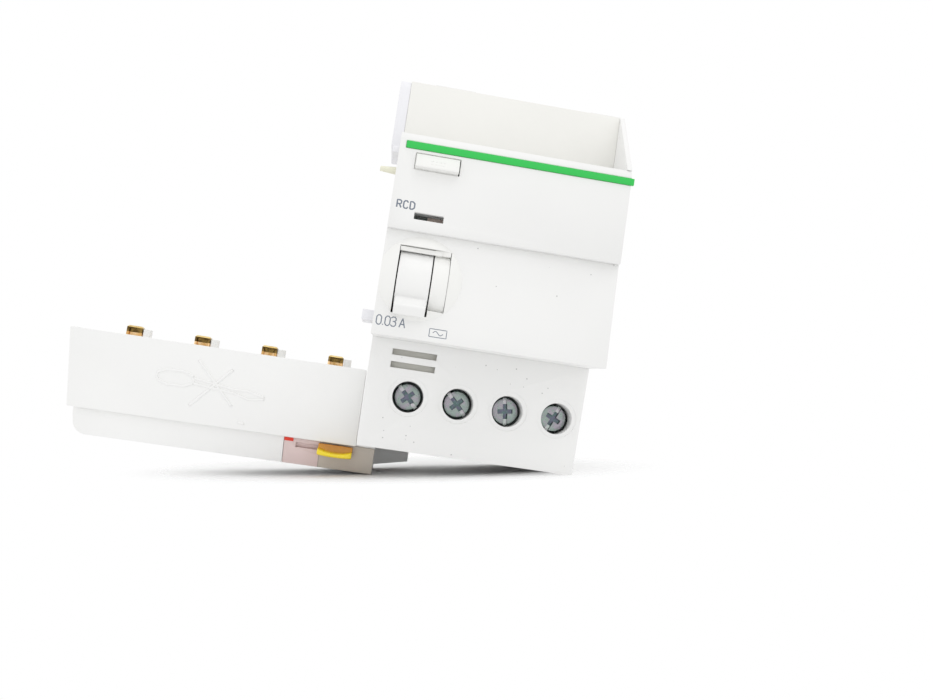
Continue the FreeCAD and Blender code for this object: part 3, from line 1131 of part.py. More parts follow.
def busbar(pole):
    """Bar from a pin along the tray, turned up inside the guide tube."""
    row = BUSBAR_ROWS[pole]
    pin = BLOCK_PINS[pole]
    riser = RISERS[pole]
    half = BUSBAR_WIDTH / 2
    stub = block(pin - half, pin + half, row - half, PIN_BACK, BUSBAR_LOW, BUSBAR_HIGH)
    run = block(pin - half, riser + half, row - half, row + half, BUSBAR_LOW, BUSBAR_HIGH)
    back = block(riser - half, riser + half, RISER_DEPTH - RISER_HALF, row + half, BUSBAR_LOW, BUSBAR_HIGH)
    up = block(riser - half, riser + half, RISER_DEPTH - RISER_HALF, RISER_DEPTH + RISER_HALF, BUSBAR_LOW,
               CARRIAGE_TOP)
    return fuse([stub, run, back, up])


def braid(pole):
    """Flexible link between the guide tube and the fixed conductor."""
    x = RISERS[pole]
    return block(x - BRAID_HALF_WIDTH, x + BRAID_HALF_WIDTH, RISER_DEPTH - BRAID_HALF_DEPTH,
                 RISER_DEPTH + BRAID_HALF_DEPTH, CARRIAGE_TOP, BRAID_TOP)


def lock_track():
    """Slotted plate that the lock slides on, nearly flush with the tray's front."""
    outline = front_band(TRACK_TOP, CASING_BOTTOM, TRACK_SUNK, TRACK_THICKNESS)
    plate = side_profile(outline, TRACK_LEFT, CASING_RIGHT)
    slot = block(LOCK_STEM[0] - LOCK_TRAVEL - FIT_GAP, LOCK_STEM[1] + FIT_GAP, CASING_FRONT - CASING_NOSE,
                 CASING_FRONT + OVERCUT, STEM_LOW - FIT_GAP, STEM_HIGH + FIT_GAP)
    return plate.cut(slot)


def unlocked_mark():
    """Small mark at the end of the lock's travel."""
    outline = front_band(TRACK_TOP, MARK_LOW, TRACK_SUNK - MARK_THICKNESS, MARK_THICKNESS)
    return side_profile(outline, TRACK_LEFT, TRACK_LEFT + MARK_WIDTH)


def lock_slide():
    """Lock with a scooped finger lip, its stem through the track's slot and a dust strip behind it."""
    rest = TRACK_SUNK - FIT_GAP
    base = casing_face(LOCK_TOP) - rest
    shelf = base + LOCK_SHELF
    lip = base + LOCK_LIP
    outline = [(base, LOCK_TOP), (shelf, LOCK_TOP), (shelf, LOCK_LIP_TOP),
               (lip - LOCK_LIP_ROUND, LOCK_LIP_TOP - LOCK_LIP_ROUND), (lip, LOCK_LIP_TOP - 2 * LOCK_LIP_ROUND),
               (lip - LOCK_LIP_ROUND, LOCK_FOOT), (casing_face(LOCK_FOOT) - rest, LOCK_FOOT),
               (casing_face(CASING_KNEE) - rest, CASING_KNEE)]
    body = side_profile(outline, LOCK_LEFT, LOCK_RIGHT)
    behind = TRACK_SUNK + TRACK_THICKNESS + FIT_GAP
    stem_band = front_band(STEM_HIGH, STEM_LOW, rest - OVERCUT, behind - rest + OVERCUT + SEAT_GAP)
    strip_band = front_band(STEM_HIGH + 2 * STRIP_LAP, STEM_LOW - 2 * STRIP_LAP, behind, STRIP_THICKNESS)
    strip = side_profile(strip_band, LOCK_STEM[0] - LOCK_TRAVEL - STRIP_END, LOCK_STEM[1] + STRIP_END)
    return fuse([body, side_profile(stem_band, *LOCK_STEM), strip])


def main():
    """Write every node."""
    save("rear_base", rear_base())
    save("front_cover", front_cover())
    save("terminal_shroud", terminal_shroud())
    save("upper_fascia", upper_fascia())
    save("top_shoulder_cover", top_shoulder_cover())
    save("colour_stripe", colour_stripe())
    save("test_button", test_button())
    save("test_button_spring", test_button_spring())
    save("test_contact", test_contact())
    save("window_lens", window_lens())
    save("fault_flag", fault_flag())
    save("toggle_handle", toggle_handle())
    save("toggle_axle", toggle_axle())
    save("toggle_bezel", toggle_bezel())
    save("toggle_side_cheek", toggle_side_cheek())
    save("trip_lever", trip_lever())
    save("trip_pin", trip_pin())
    save("trip_axle", trip_axle())
    save("relay_case", relay_case())
    save("relay_plunger", relay_plunger())
    save("relay_spring", relay_spring())
    save("toroid_core", toroid_core())
    save("toroid_winding", toroid_winding())
    save("circuit_board", circuit_board())
    save("test_resistor", test_resistor())
    save("marker_backing", marker_backing())
    save("terminal_housing", terminal_housing())
    save("terminal_bars", terminal_bars())
    save("rail_clip", rail_clip())
    save("rail_clip_spring", rail_clip_spring())
    save("case_screws", case_screws())
    save("side_coupling_flange", side_flange())
    save("side_lugs", side_lugs())
    save("block_casing", block_casing())
    save("block_cover", block_cover())
    save("block_carriage", block_carriage())
    save("screw_shield", screw_shield())
    save("pin_guards", pin_guards())
    save("lock_track", lock_track())
    save("unlocked_mark", unlocked_mark())
    save("lock_slide", lock_slide())
    for pole in range(POLES):
        number = str(pole + 1)
        save("terminal_cage_" + number, terminal_cage(TERMINALS[pole]))
        save("terminal_screw_" + number, terminal_screw(TERMINALS[pole], SCREW_ANGLES[pole]))
        save("conductor_" + number, conductor(pole))
        save("contact_pin_" + number, contact_pin(BLOCK_PINS[pole]))
    save("busbars", Part.makeCompound([busbar(pole) for pole in range(POLES)]))
    save("flexible_braids", Part.makeCompound([braid(pole) for pole in range(POLES)]))


main()
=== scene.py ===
# %% [markdown]
# # A residual current add-on block, dressed for its portrait
#
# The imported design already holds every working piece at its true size: housing, toggle, test button,
# terminals, and the sliding connection block on the left.  This lesson takes that frame and gives it
# eased edges, moulded and plated finishes, raised and printed marks, woven braids and wound springs.
# Everything is in metres, with X along the rail, Y into the wall and Z up.

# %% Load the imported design
import json
import math

import bpy
from mathutils import Matrix, Vector
from mathutils.bvhtree import BVHTree


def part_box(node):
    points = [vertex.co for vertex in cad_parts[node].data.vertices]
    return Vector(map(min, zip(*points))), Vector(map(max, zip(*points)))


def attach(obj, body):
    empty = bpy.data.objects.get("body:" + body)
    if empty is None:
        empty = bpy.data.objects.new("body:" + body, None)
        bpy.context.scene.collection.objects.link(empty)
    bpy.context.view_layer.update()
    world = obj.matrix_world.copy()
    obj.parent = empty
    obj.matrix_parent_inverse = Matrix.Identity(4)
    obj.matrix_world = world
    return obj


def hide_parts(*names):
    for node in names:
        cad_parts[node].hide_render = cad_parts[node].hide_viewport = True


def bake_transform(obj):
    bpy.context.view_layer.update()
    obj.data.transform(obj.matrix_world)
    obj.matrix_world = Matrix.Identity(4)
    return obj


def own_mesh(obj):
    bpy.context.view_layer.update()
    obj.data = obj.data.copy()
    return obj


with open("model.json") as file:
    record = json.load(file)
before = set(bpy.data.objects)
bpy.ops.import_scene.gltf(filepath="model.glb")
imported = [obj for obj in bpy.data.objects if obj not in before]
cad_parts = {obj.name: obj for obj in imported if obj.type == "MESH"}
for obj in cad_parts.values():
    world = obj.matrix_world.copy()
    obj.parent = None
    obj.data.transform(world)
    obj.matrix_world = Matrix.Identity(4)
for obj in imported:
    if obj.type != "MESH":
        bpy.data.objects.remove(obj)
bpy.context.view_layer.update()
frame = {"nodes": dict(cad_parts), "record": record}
MM = 0.001

# %% [markdown]
# ## The stand
#
# The block isn't closed: it hangs 7.6 mm below its working place.  Set down on a table, the device leans.
# It rests on the tray's lower right corner, in its middle, and on the terminal shroud's lower right edge.
# Those two edges give the table its slope in the device's own frame, so the slope is worked out, not
# typed in.

# %% Find the table under the leaning device
tray_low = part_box("block_casing")[0]
track_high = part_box("lock_track")[1]
shroud_low, shroud_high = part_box("terminal_shroud")
tongue_edge = Vector((track_high.x, 0.0, tray_low.z))
housing_edge = Vector((shroud_high.x, 0.0, shroud_low.z))
lean = math.atan2(housing_edge.z - tongue_edge.z, housing_edge.x - tongue_edge.x)
print("the device leans", round(math.degrees(lean), 2), "degrees")

# %% [markdown]
# ## The camera
#
# A short distance and a moderate lens show the step from nose to shoulders, and the inner side of the
# left edge. The turn, tilt and roll are kept as three angles, because they can be read and changed one at
# a time.  The roll is close to the lean, so the table comes out level.

# %% Place the camera
CAMERA_PLACE = Vector((-20.2, -250.2, -38.3)) * MM
CAMERA_TURN = -4.52
CAMERA_TILT = 4.59
CAMERA_ROLL = 8.33
CAMERA_LENS = 32.68


def turn_about(axis, degrees):
    """Turn by an angle about one axis."""
    return Matrix.Rotation(math.radians(degrees), 4, axis)


camera = bpy.data.objects.new("camera", bpy.data.cameras.new("camera"))
bpy.context.scene.collection.objects.link(camera)
camera.data.lens = CAMERA_LENS
camera.data.sensor_width = 36.0
camera.data.clip_start = 0.01
camera.matrix_world = (Matrix.Translation(CAMERA_PLACE) @ turn_about("Z", CAMERA_TURN)
                       @ turn_about("X", 90.0 + CAMERA_TILT) @ turn_about("Z", CAMERA_ROLL))
bpy.context.scene.camera = camera
print("camera distance:", round(CAMERA_PLACE.length / MM), "mm")

# %% [markdown]
# ## Helpers for node materials
#
# Every finish below is a small network of nodes.  A few helpers keep the networks short: one adds a node
# and fills its sockets, and the others make the patterns that most finishes share.  A value that is the
# same all over goes straight on the shader.

# %% Node helpers
def add_node(tree, kind, **values):
    """Add a shader node; settings by attribute name, sockets by their name with underscores for spaces."""
    node = tree.nodes.new("ShaderNode" + kind)
    for name, value in values.items():
        socket = node.inputs.get(name.replace("_", " "))
        if socket is None:
            setattr(node, name, value)
        elif isinstance(value, bpy.types.NodeSocket):
            tree.links.new(value, socket)
        else:
            socket.default_value = value
    return node


def new_finish(name):
    """An empty material with its shader, output and object coordinates."""
    finish = bpy.data.materials.new(name)
    finish.use_nodes = True
    tree = finish.node_tree
    tree.nodes.clear()
    shader = add_node(tree, "BsdfPrincipled")
    output = add_node(tree, "OutputMaterial")
    tree.links.new(shader.outputs["BSDF"], output.inputs["Surface"])
    place = add_node(tree, "TexCoord").outputs["Object"]
    return finish, tree, shader, place


def noise(tree, place, scale, detail=3.0, stretch=None):
    """Noise with its scale in waves per metre, stretched along an axis if asked."""
    if stretch is not None:
        place = add_node(tree, "Mapping", Vector=place, Scale=stretch).outputs["Vector"]
    return add_node(tree, "TexNoise", Vector=place, Scale=scale, Detail=detail).outputs["Fac"]


def spread(tree, value, low, high, from_low=0.3, from_high=0.7):
    """Map a pattern's middle range to low..high."""
    return add_node(tree, "MapRange", Value=value, From_Min=from_low, From_Max=from_high,
                    To_Min=low, To_Max=high).outputs["Result"]


def two_tone(tree, factor, first, second):
    """Mix two colours by a factor from 0 to 1."""
    mix = add_node(tree, "Mix", data_type="RGBA")
    tree.links.new(factor, mix.inputs["Factor"])
    for socket, colour in ((mix.inputs[6], first), (mix.inputs[7], second)):
        if isinstance(colour, bpy.types.NodeSocket):
            tree.links.new(colour, socket)
        else:
            socket.default_value = (*colour, 1.0)
    return mix.outputs[2]


def raise_grain(tree, shader, height, depth):
    """Bump of a real depth in metres."""
    bump = add_node(tree, "Bump", Height=height, Distance=depth, Strength=1.0)
    tree.links.new(bump.outputs["Normal"], shader.inputs["Normal"])


def darker(colour, share):
    """A colour with this share of its light."""
    return tuple(channel * share for channel in colour)


print("helpers ready")

# %% [markdown]
# ## Moulded plastic
#
# Most of what shows is white thermoplastic from spark-eroded moulds: a very fine grain, a slight mottling
# where the melt flowed, gloss that changes a little from place to place, and after handling a few specks
# of dust in the grain.  A picture texture would carry one part's marks; noise gives each its own.
# Grain waves are about a third of a millimetre long and a few microns deep, which catches a highlight
# without looking like leather.

# %% Moulded plastic finishes
GRAIN_WAVES = 3200.0
FLOW_WAVES = 38.0
POLISH_WAVES = 160.0
DUST_CELLS = 420.0
SPECK_RADIUS = 0.07
SPECK_TONE = 0.6
# depths over which the lock's painted shade fades out from the scoop to the lip
LOCK_FLOOR_DEPTH = 32.2
LOCK_LIP_DEPTH = 34.4
# where the track's rosy label meets its painted shade
TRACK_SEAM = -36.4


def moulded(name, colour, gloss=0.42, grain=3e-6, mottle=0.97, dust=0.0, coat=0.0):
    """Grained thermoplastic, with optional dust specks and gloss coat."""
    finish, tree, shader, place = new_finish(name)
    flow = spread(tree, noise(tree, place, FLOW_WAVES), 0.0, 1.0)
    tint = two_tone(tree, flow, colour, darker(colour, mottle))
    if dust > 0.0:
        cells = add_node(tree, "TexVoronoi", Vector=place, Scale=DUST_CELLS)
        near = add_node(tree, "Math", operation="LESS_THAN")
        tree.links.new(cells.outputs["Distance"], near.inputs[0])
        near.inputs[1].default_value = SPECK_RADIUS
        rare = add_node(tree, "Math", operation="GREATER_THAN")
        tree.links.new(cells.outputs["Color"], rare.inputs[0])
        rare.inputs[1].default_value = 1.0 - dust
        speck = add_node(tree, "Math", operation="MULTIPLY")
        tree.links.new(near.outputs[0], speck.inputs[0])
        tree.links.new(rare.outputs[0], speck.inputs[1])
        tint = two_tone(tree, speck.outputs[0], tint, darker(colour, SPECK_TONE))
    tree.links.new(tint, shader.inputs["Base Color"])
    polish = spread(tree, noise(tree, place, POLISH_WAVES), gloss - 0.06, gloss + 0.06)
    tree.links.new(polish, shader.inputs["Roughness"])
    shader.inputs["Specular IOR Level"].default_value = 0.4
    shader.inputs["Coat Weight"].default_value = coat
    shader.inputs["Coat Roughness"].default_value = 0.12
    raise_grain(tree, shader, noise(tree, place, GRAIN_WAVES, 2.0), grain)
    return finish


def track_plastic():
    """Translucent track, rosy over the lock's way; past a fine seam, painted shade and painted lock
    reflection.
    """
    finish, tree, shader, place = new_finish("track rosy with painted shade")
    parts = add_node(tree, "SeparateXYZ", Vector=place)
    right = spread(tree, parts.outputs["X"], 0.0, 1.0, (TRACK_SEAM - 0.05) * MM, (TRACK_SEAM + 0.05) * MM)
    off_seam = add_node(tree, "Math", operation="COMPARE")
    tree.links.new(parts.outputs["X"], off_seam.inputs[0])
    off_seam.inputs[1].default_value = TRACK_SEAM * MM
    off_seam.inputs[2].default_value = 0.12 * MM
    flow = spread(tree, noise(tree, place, FLOW_WAVES * 3), 0.0, 1.0)
    rosy = two_tone(tree, flow, (0.76, 0.61, 0.59), (0.72, 0.58, 0.56))
    # painted shade and a painted reflection of the yellow lock, right of the seam
    tan = two_tone(tree, flow, (0.60, 0.55, 0.48), (0.56, 0.51, 0.45))
    field = two_tone(tree, right, rosy, tan)
    tree.links.new(two_tone(tree, off_seam.outputs[0], field, (0.42, 0.37, 0.33)), shader.inputs["Base Color"])
    tree.links.new(spread(tree, flow, 0.48, 0.62, 0.0, 1.0), shader.inputs["Roughness"])
    raise_grain(tree, shader, noise(tree, place, GRAIN_WAVES, 2.0), 3e-6)
    return finish


def lock_plastic():
    """Yellow plastic, with painted shade in orange inside the thumb scoop."""
    finish, tree, shader, place = new_finish("lock yellow")
    parts = add_node(tree, "SeparateXYZ", Vector=place)
    outward = spread(tree, parts.outputs["Y"], 1.0, 0.0, -LOCK_LIP_DEPTH * MM, -LOCK_FLOOR_DEPTH * MM)
    speckle = spread(tree, noise(tree, place, FLOW_WAVES * 8), 0.0, 1.0)
    # painted shade: orange inside the scoop, fading out towards the lip
    scoop_painted_shade = two_tone(tree, speckle, (0.62, 0.26, 0.012), (0.50, 0.19, 0.01))
    bright = two_tone(tree, speckle, (0.90, 0.70, 0.01), (0.84, 0.64, 0.01))
    tree.links.new(two_tone(tree, outward, scoop_painted_shade, bright), shader.inputs["Base Color"])
    tree.links.new(spread(tree, speckle, 0.22, 0.36, 0.0, 1.0), shader.inputs["Roughness"])
    shader.inputs["Coat Weight"].default_value = 0.4
    raise_grain(tree, shader, noise(tree, place, GRAIN_WAVES, 2.0), 1e-6)
    return finish


WHITE = (0.86, 0.86, 0.85)
finishes = {
    "housing_white": moulded("housing white", WHITE, dust=0.36),
    "base_white": moulded("base white", (0.82, 0.82, 0.80), gloss=0.5),
    "fascia_white": moulded("fascia white", WHITE, dust=0.42),
    "shoulder_beige": moulded("shoulder beige", (0.87, 0.865, 0.83), gloss=0.55, dust=0.08),
    "stripe_green": moulded("stripe green", (0.025, 0.55, 0.085), gloss=0.35, grain=2e-6, coat=0.2),
    "button_white": moulded("button white", (0.86, 0.86, 0.84), gloss=0.38),
    "toggle_white": moulded("toggle white", (0.88, 0.88, 0.87), gloss=0.22, grain=1e-6, coat=0.3),
    "bezel_white": moulded("bezel white", (0.87, 0.87, 0.85), gloss=0.34),
    "marker_grey": moulded("marker grey", (0.66, 0.65, 0.60), gloss=0.6),
    "flange_white": moulded("flange white", (0.86, 0.86, 0.89), gloss=0.45),
    "pin_ivory": moulded("pin ivory", (0.84, 0.83, 0.68), gloss=0.35),
    "lever_grey": moulded("lever grey", (0.34, 0.34, 0.35), gloss=0.5),
    "insulator_grey": moulded("insulator grey", (0.46, 0.47, 0.48), gloss=0.6, grain=6e-6),
    "conductor_sleeve": moulded("conductor sleeve", (0.05, 0.05, 0.06), gloss=0.4),
    "clip_white": moulded("clip white", (0.80, 0.80, 0.78), gloss=0.5),
    "block_white": moulded("block white", (0.90, 0.90, 0.89), gloss=0.45, dust=0.05),
    "guard_white": moulded("guard white", (0.86, 0.86, 0.84), gloss=0.45),
    "track_tan": track_plastic(),
    "strip_pink": moulded("strip pink", (0.80, 0.64, 0.62), gloss=0.55),
    "print_grey": moulded("print grey", (0.20, 0.23, 0.28), gloss=0.5),
    "mark_red": moulded("mark red", (0.80, 0.045, 0.02), gloss=0.4),
    "lock_yellow": lock_plastic(),
    "resistor_body": moulded("resistor lacquer", (0.50, 0.36, 0.20), gloss=0.25, coat=0.5),
}
print("moulded finishes:", len(finishes))

# %% [markdown]
# ## Metals
#
# Four metals show or hide inside: zinc-passivated steel on the terminal screws, with its green and violet
# interference tints; plain drawn or pressed steel; bare copper; and copper pins.  The screws and pins change
# colour by height in bands of painted shade and painted highlight: shade in the screws' slot walls, rim and
# cross, a highlight on their slot bottoms, and highlights at the pins' top edges and low on their faces.
# Each gets fine scratches, made by stretching noise far along one axis, and a slow change of tint.

# %% Metal finishes
SCRATCH_WAVES = 5200.0
TINT_WAVES = 420.0
SCREW_FACE = 37.6
SCREW_RECESS = 1.6
SLOT_SUNK = 0.9
PIN_TOP = -26.5


def metal(name, colour, tint, gloss=0.32, scratch=1.5e-6, along=(1.0, 1.0, 0.06)):
    """Metal with a second tint in patches and scratches along one axis."""
    finish, tree, shader, place = new_finish(name)
    patches = spread(tree, noise(tree, place, TINT_WAVES), 0.0, 1.0, 0.4, 0.6)
    tree.links.new(two_tone(tree, patches, colour, tint), shader.inputs["Base Color"])
    shader.inputs["Metallic"].default_value = 1.0
    scratches = noise(tree, place, SCRATCH_WAVES, 2.0, along)
    tree.links.new(spread(tree, scratches, gloss - 0.08, gloss + 0.12), shader.inputs["Roughness"])
    raise_grain(tree, shader, scratches, scratch)
    return finish


def banded(tree, value, bands):
    """Colour steps along a value: each band is (end value, colour)."""
    tone = None
    for end, colour in reversed(bands):
        if tone is None:
            tone = colour
            continue
        below = add_node(tree, "Math", operation="LESS_THAN")
        tree.links.new(value, below.inputs[0])
        below.inputs[1].default_value = end
        tone = two_tone(tree, below.outputs[0], tone, colour)
    return tone


def depth_of(tree, place):
    """Depth out from the wall, in millimetres."""
    parts = add_node(tree, "SeparateXYZ", Vector=place)
    depth = add_node(tree, "Math", operation="MULTIPLY")
    tree.links.new(parts.outputs["Y"], depth.inputs[0])
    depth.inputs[1].default_value = -1.0 / MM
    return depth.outputs[0]


def screw_plate():
    """Passivated zinc, grey-green; painted highlight on slot bottoms, painted shade on slot walls, rim and
    cross.
    """
    finish, tree, shader, place = new_finish("zinc plate")
    patches = spread(tree, noise(tree, place, TINT_WAVES * 2), 0.0, 1.0, 0.42, 0.58)
    face = two_tone(tree, patches, (0.33, 0.40, 0.37), (0.40, 0.37, 0.42))
    # painted highlight: the slot bottom paler than the head
    floor_painted_highlight = two_tone(tree, patches, (0.60, 0.66, 0.63), (0.62, 0.58, 0.63))
    # painted shade in the cross of the head
    recess_painted_shade = two_tone(tree, patches, (0.14, 0.21, 0.21), (0.19, 0.19, 0.26))
    # painted shade on the slot walls and along the rim
    wall = (0.035, 0.055, 0.05)
    ends = (SCREW_FACE - SCREW_RECESS + 0.1, SCREW_FACE - SLOT_SUNK - 0.1, SCREW_FACE - SLOT_SUNK + 0.1,
            SCREW_FACE - 0.12, None)
    tone = banded(tree, depth_of(tree, place), list(zip(ends, (recess_painted_shade, wall, floor_painted_highlight, wall, face))))
    tree.links.new(tone, shader.inputs["Base Color"])
    shader.inputs["Metallic"].default_value = 0.8
    scratches = noise(tree, place, SCRATCH_WAVES / 2, 2.0)
    tree.links.new(spread(tree, scratches, 0.24, 0.46), shader.inputs["Roughness"])
    raise_grain(tree, shader, scratches, 4e-6)
    return finish


def pin_plate():
    """Copper: yellow painted highlight at the top edge, darker below, a painted orange highlight low down."""
    finish, tree, shader, place = new_finish("pin copper")
    height = add_node(tree, "Math", operation="MULTIPLY")
    tree.links.new(add_node(tree, "SeparateXYZ", Vector=place).outputs["Z"], height.inputs[0])
    height.inputs[1].default_value = 1.0 / MM
    patches = spread(tree, noise(tree, place, TINT_WAVES * 1.5), 0.0, 1.0, 0.42, 0.58)
    dark = two_tone(tree, patches, (0.13, 0.08, 0.025), (0.26, 0.17, 0.05))
    # painted highlight: the bright orange patch low on the pin
    warm_painted_highlight = two_tone(tree, patches, (0.95, 0.66, 0.36), (0.70, 0.42, 0.16))
    # painted highlight along the top edge
    gold_painted_highlight = two_tone(tree, patches, (0.85, 0.66, 0.30), (0.70, 0.50, 0.20))
    plain = two_tone(tree, patches, (0.78, 0.48, 0.24), (0.74, 0.44, 0.21))
    ends = (PIN_TOP - 3.2, PIN_TOP - 1.75, PIN_TOP - 0.42, None)
    tone = banded(tree, height.outputs[0], list(zip(ends, (plain, warm_painted_highlight, dark, gold_painted_highlight))))
    tree.links.new(tone, shader.inputs["Base Color"])
    shader.inputs["Metallic"].default_value = 1.0
    scratches = noise(tree, place, SCRATCH_WAVES, 2.0, (0.06, 1.0, 1.0))
    tree.links.new(spread(tree, scratches, 0.14, 0.34), shader.inputs["Roughness"])
    raise_grain(tree, shader, scratches, 1.5e-6)
    return finish


finishes.update({
    "screw_zinc": screw_plate(),
    "cage_steel": metal("cage plate", (0.52, 0.52, 0.48), (0.44, 0.46, 0.44), 0.38),
    "spring_steel": metal("spring wire", (0.56, 0.56, 0.57), (0.48, 0.48, 0.50), 0.28),
    "bright_steel": metal("bright steel", (0.66, 0.66, 0.67), (0.58, 0.59, 0.61), 0.22),
    "relay_shell": metal("relay can", (0.60, 0.61, 0.63), (0.52, 0.54, 0.56), 0.35),
    "core_ferrite": metal("core strip", (0.16, 0.16, 0.17), (0.11, 0.11, 0.12), 0.45, along=(1.0, 1.0, 8.0)),
    "winding_enamel": metal("enamelled wire", (0.62, 0.22, 0.07), (0.50, 0.15, 0.05), 0.25),
    "copper": metal("bare copper", (0.80, 0.42, 0.26), (0.66, 0.32, 0.20), 0.3),
    "braid_copper": metal("braid copper", (0.78, 0.40, 0.24), (0.62, 0.30, 0.18), 0.36),
    "pin_copper": pin_plate(),
})
print("finishes so far:", len(finishes))

# %% [markdown]
# ## Window, flag and board
#
# The indicator window is a thin clear pane with a smudged gloss.  Behind it slides a flag with printed
# fields: black over dark red on the left, brown on the right.  The fields meet at the window's middle and
# belong to the flag, so they move with it.  The circuit board gets faint rectangular traces under lacquer.

# %% Window, flag and board finishes
def clear_pane():
    """Clear plastic, faintly smudged."""
    finish, tree, shader, place = new_finish("clear pane")
    shader.inputs["Base Color"].default_value = (0.93, 0.95, 0.95, 1.0)
    shader.inputs["Transmission Weight"].default_value = 1.0
    shader.inputs["IOR"].default_value = 1.3
    smudge = spread(tree, noise(tree, place, POLISH_WAVES), 0.02, 0.16)
    tree.links.new(smudge, shader.inputs["Roughness"])
    raise_grain(tree, shader, noise(tree, place, TINT_WAVES), 1e-6)
    return finish


def flag_print():
    """Printed fields that meet halfway along what the window shows."""
    finish, tree, shader, place = new_finish("flag print")
    window_low, window_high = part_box("window_lens")
    middle = (window_low.x + window_high.x) / 2
    parts = add_node(tree, "SeparateXYZ", Vector=place)
    right = add_node(tree, "Math", operation="GREATER_THAN")
    tree.links.new(parts.outputs["X"], right.inputs[0])
    right.inputs[1].default_value = middle - 0.2 * MM
    upper = add_node(tree, "Math", operation="GREATER_THAN")
    tree.links.new(parts.outputs["Z"], upper.inputs[0])
    upper.inputs[1].default_value = (window_low.z + window_high.z) / 2 - 0.1 * MM
    left_field = two_tone(tree, upper.outputs[0], (0.42, 0.10, 0.08), (0.06, 0.085, 0.07))
    print_wear = spread(tree, noise(tree, place, TINT_WAVES * 2), 0.0, 1.0)
    right_field = two_tone(tree, print_wear, (0.95, 0.74, 0.64), (0.76, 0.57, 0.50))
    tree.links.new(two_tone(tree, right.outputs[0], left_field, right_field), shader.inputs["Base Color"])
    tree.links.new(spread(tree, print_wear, 0.35, 0.6, 0.0, 1.0), shader.inputs["Roughness"])
    raise_grain(tree, shader, print_wear, 2e-6)
    return finish


def board_lacquer():
    """Green lacquer over copper traces."""
    finish, tree, shader, place = new_finish("board lacquer")
    traces = add_node(tree, "TexBrick", Vector=place, Scale=260.0, Mortar_Size=0.03)
    tone = two_tone(tree, traces.outputs["Fac"], (0.01, 0.12, 0.04), (0.02, 0.20, 0.07))
    tree.links.new(tone, shader.inputs["Base Color"])
    tree.links.new(spread(tree, noise(tree, place, TINT_WAVES), 0.25, 0.4), shader.inputs["Roughness"])
    raise_grain(tree, shader, traces.outputs["Fac"], 2e-5)
    return finish


finishes["lens_clear"] = clear_pane()
finishes["flag_red"] = flag_print()
finishes["board_green"] = board_lacquer()
slots = {part["node"]: part["material_slot"] for part in frame["record"]["subparts"]}
for node, piece in frame["nodes"].items():
    piece.data.materials.clear()
    piece.data.materials.append(finishes[slots[node]])
print("nodes dressed:", len(frame["nodes"]))

# %% [markdown]
# ## Eased edges
#
# The design's edges are perfectly sharp, and no moulding is.  A real mould leaves a radius of a quarter
# of a millimetre, and the thin bright line along each edge is what makes plastic look like plastic.  The
# frame's meshes stay untouched: a stack of modifiers welds the corners, merges flat facets so that bevels
# run clean, rounds every edge sharper than 35 degrees, and shades the result smooth.

# %% Ease the edges of the frame's pieces
SHARP = math.radians(35.0)


def smooth_shading():
    """Node group that drops stored normals and shades by angle."""
    group = bpy.data.node_groups.new("shade by angle", "GeometryNodeTree")
    group.interface.new_socket("Geometry", in_out="INPUT", socket_type="NodeSocketGeometry")
    group.interface.new_socket("Geometry", in_out="OUTPUT", socket_type="NodeSocketGeometry")
    entry = group.nodes.new("NodeGroupInput")
    leave = group.nodes.new("NodeGroupOutput")
    drop = group.nodes.new("GeometryNodeRemoveAttribute")
    drop.inputs["Name"].default_value = "custom_normal"
    faces = group.nodes.new("GeometryNodeSetShadeSmooth")
    edges = group.nodes.new("GeometryNodeSetShadeSmooth")
    edges.domain = "EDGE"
    edges.inputs["Shade Smooth"].default_value = False
    angle = group.nodes.new("GeometryNodeInputMeshEdgeAngle")
    sharp = group.nodes.new("FunctionNodeCompare")
    sharp.operation = "GREATER_THAN"
    sharp.inputs["B"].default_value = SHARP
    links = group.links
    links.new(entry.outputs[0], drop.inputs["Geometry"])
    links.new(drop.outputs["Geometry"], faces.inputs["Geometry"])
    links.new(faces.outputs["Geometry"], edges.inputs["Geometry"])
    links.new(angle.outputs["Unsigned Angle"], sharp.inputs["A"])
    links.new(sharp.outputs["Result"], edges.inputs["Selection"])
    links.new(edges.outputs["Geometry"], leave.inputs[0])
    return group


shade_by_angle = smooth_shading()


def ease(node, radius, steps=2):
    """Round a frame piece's edges without touching its mesh."""
    piece = frame["nodes"][node]
    weld = piece.modifiers.new("weld corners", "WELD")
    weld.merge_threshold = 0.001 * MM
    flats = piece.modifiers.new("merge flats", "DECIMATE")
    flats.decimate_type = "DISSOLVE"
    flats.angle_limit = math.radians(0.3)
    if radius > 0.0:
        bevel = piece.modifiers.new("ease edges", "BEVEL")
        bevel.width = radius
        bevel.segments = steps
        bevel.limit_method = "ANGLE"
        bevel.angle_limit = SHARP
        bevel.use_clamp_overlap = True
    shade = piece.modifiers.new("shade", "NODES")
    shade.node_group = shade_by_angle


edge_radii = {
    0.28: ["rear_base", "block_casing", "screw_shield"],
    0.22: ["front_cover", "terminal_shroud", "upper_fascia", "top_shoulder_cover"],
    0.2: ["toggle_handle", "test_button", "rail_clip", "side_coupling_flange", "side_lugs"],
    0.12: ["toggle_bezel", "toggle_side_cheek", "pin_guards", "lock_track", "block_carriage", "block_cover",
           "terminal_housing", "colour_stripe", "relay_case", "trip_lever"]
          + ["contact_pin_%d" % pole for pole in (1, 2, 3, 4)]
          + ["terminal_cage_%d" % pole for pole in (1, 2, 3, 4)],
    0.08: ["case_screws", "busbars", "terminal_bars", "fault_flag", "circuit_board", "test_contact",
           "unlocked_mark", "toggle_axle", "trip_axle", "relay_plunger", "toroid_core"]
          + ["terminal_screw_%d" % pole for pole in (1, 2, 3, 4)],
    0.0: ["trip_pin", "test_resistor", "window_lens", "marker_backing"]
         + ["conductor_%d" % pole for pole in (1, 2, 3, 4)],
}
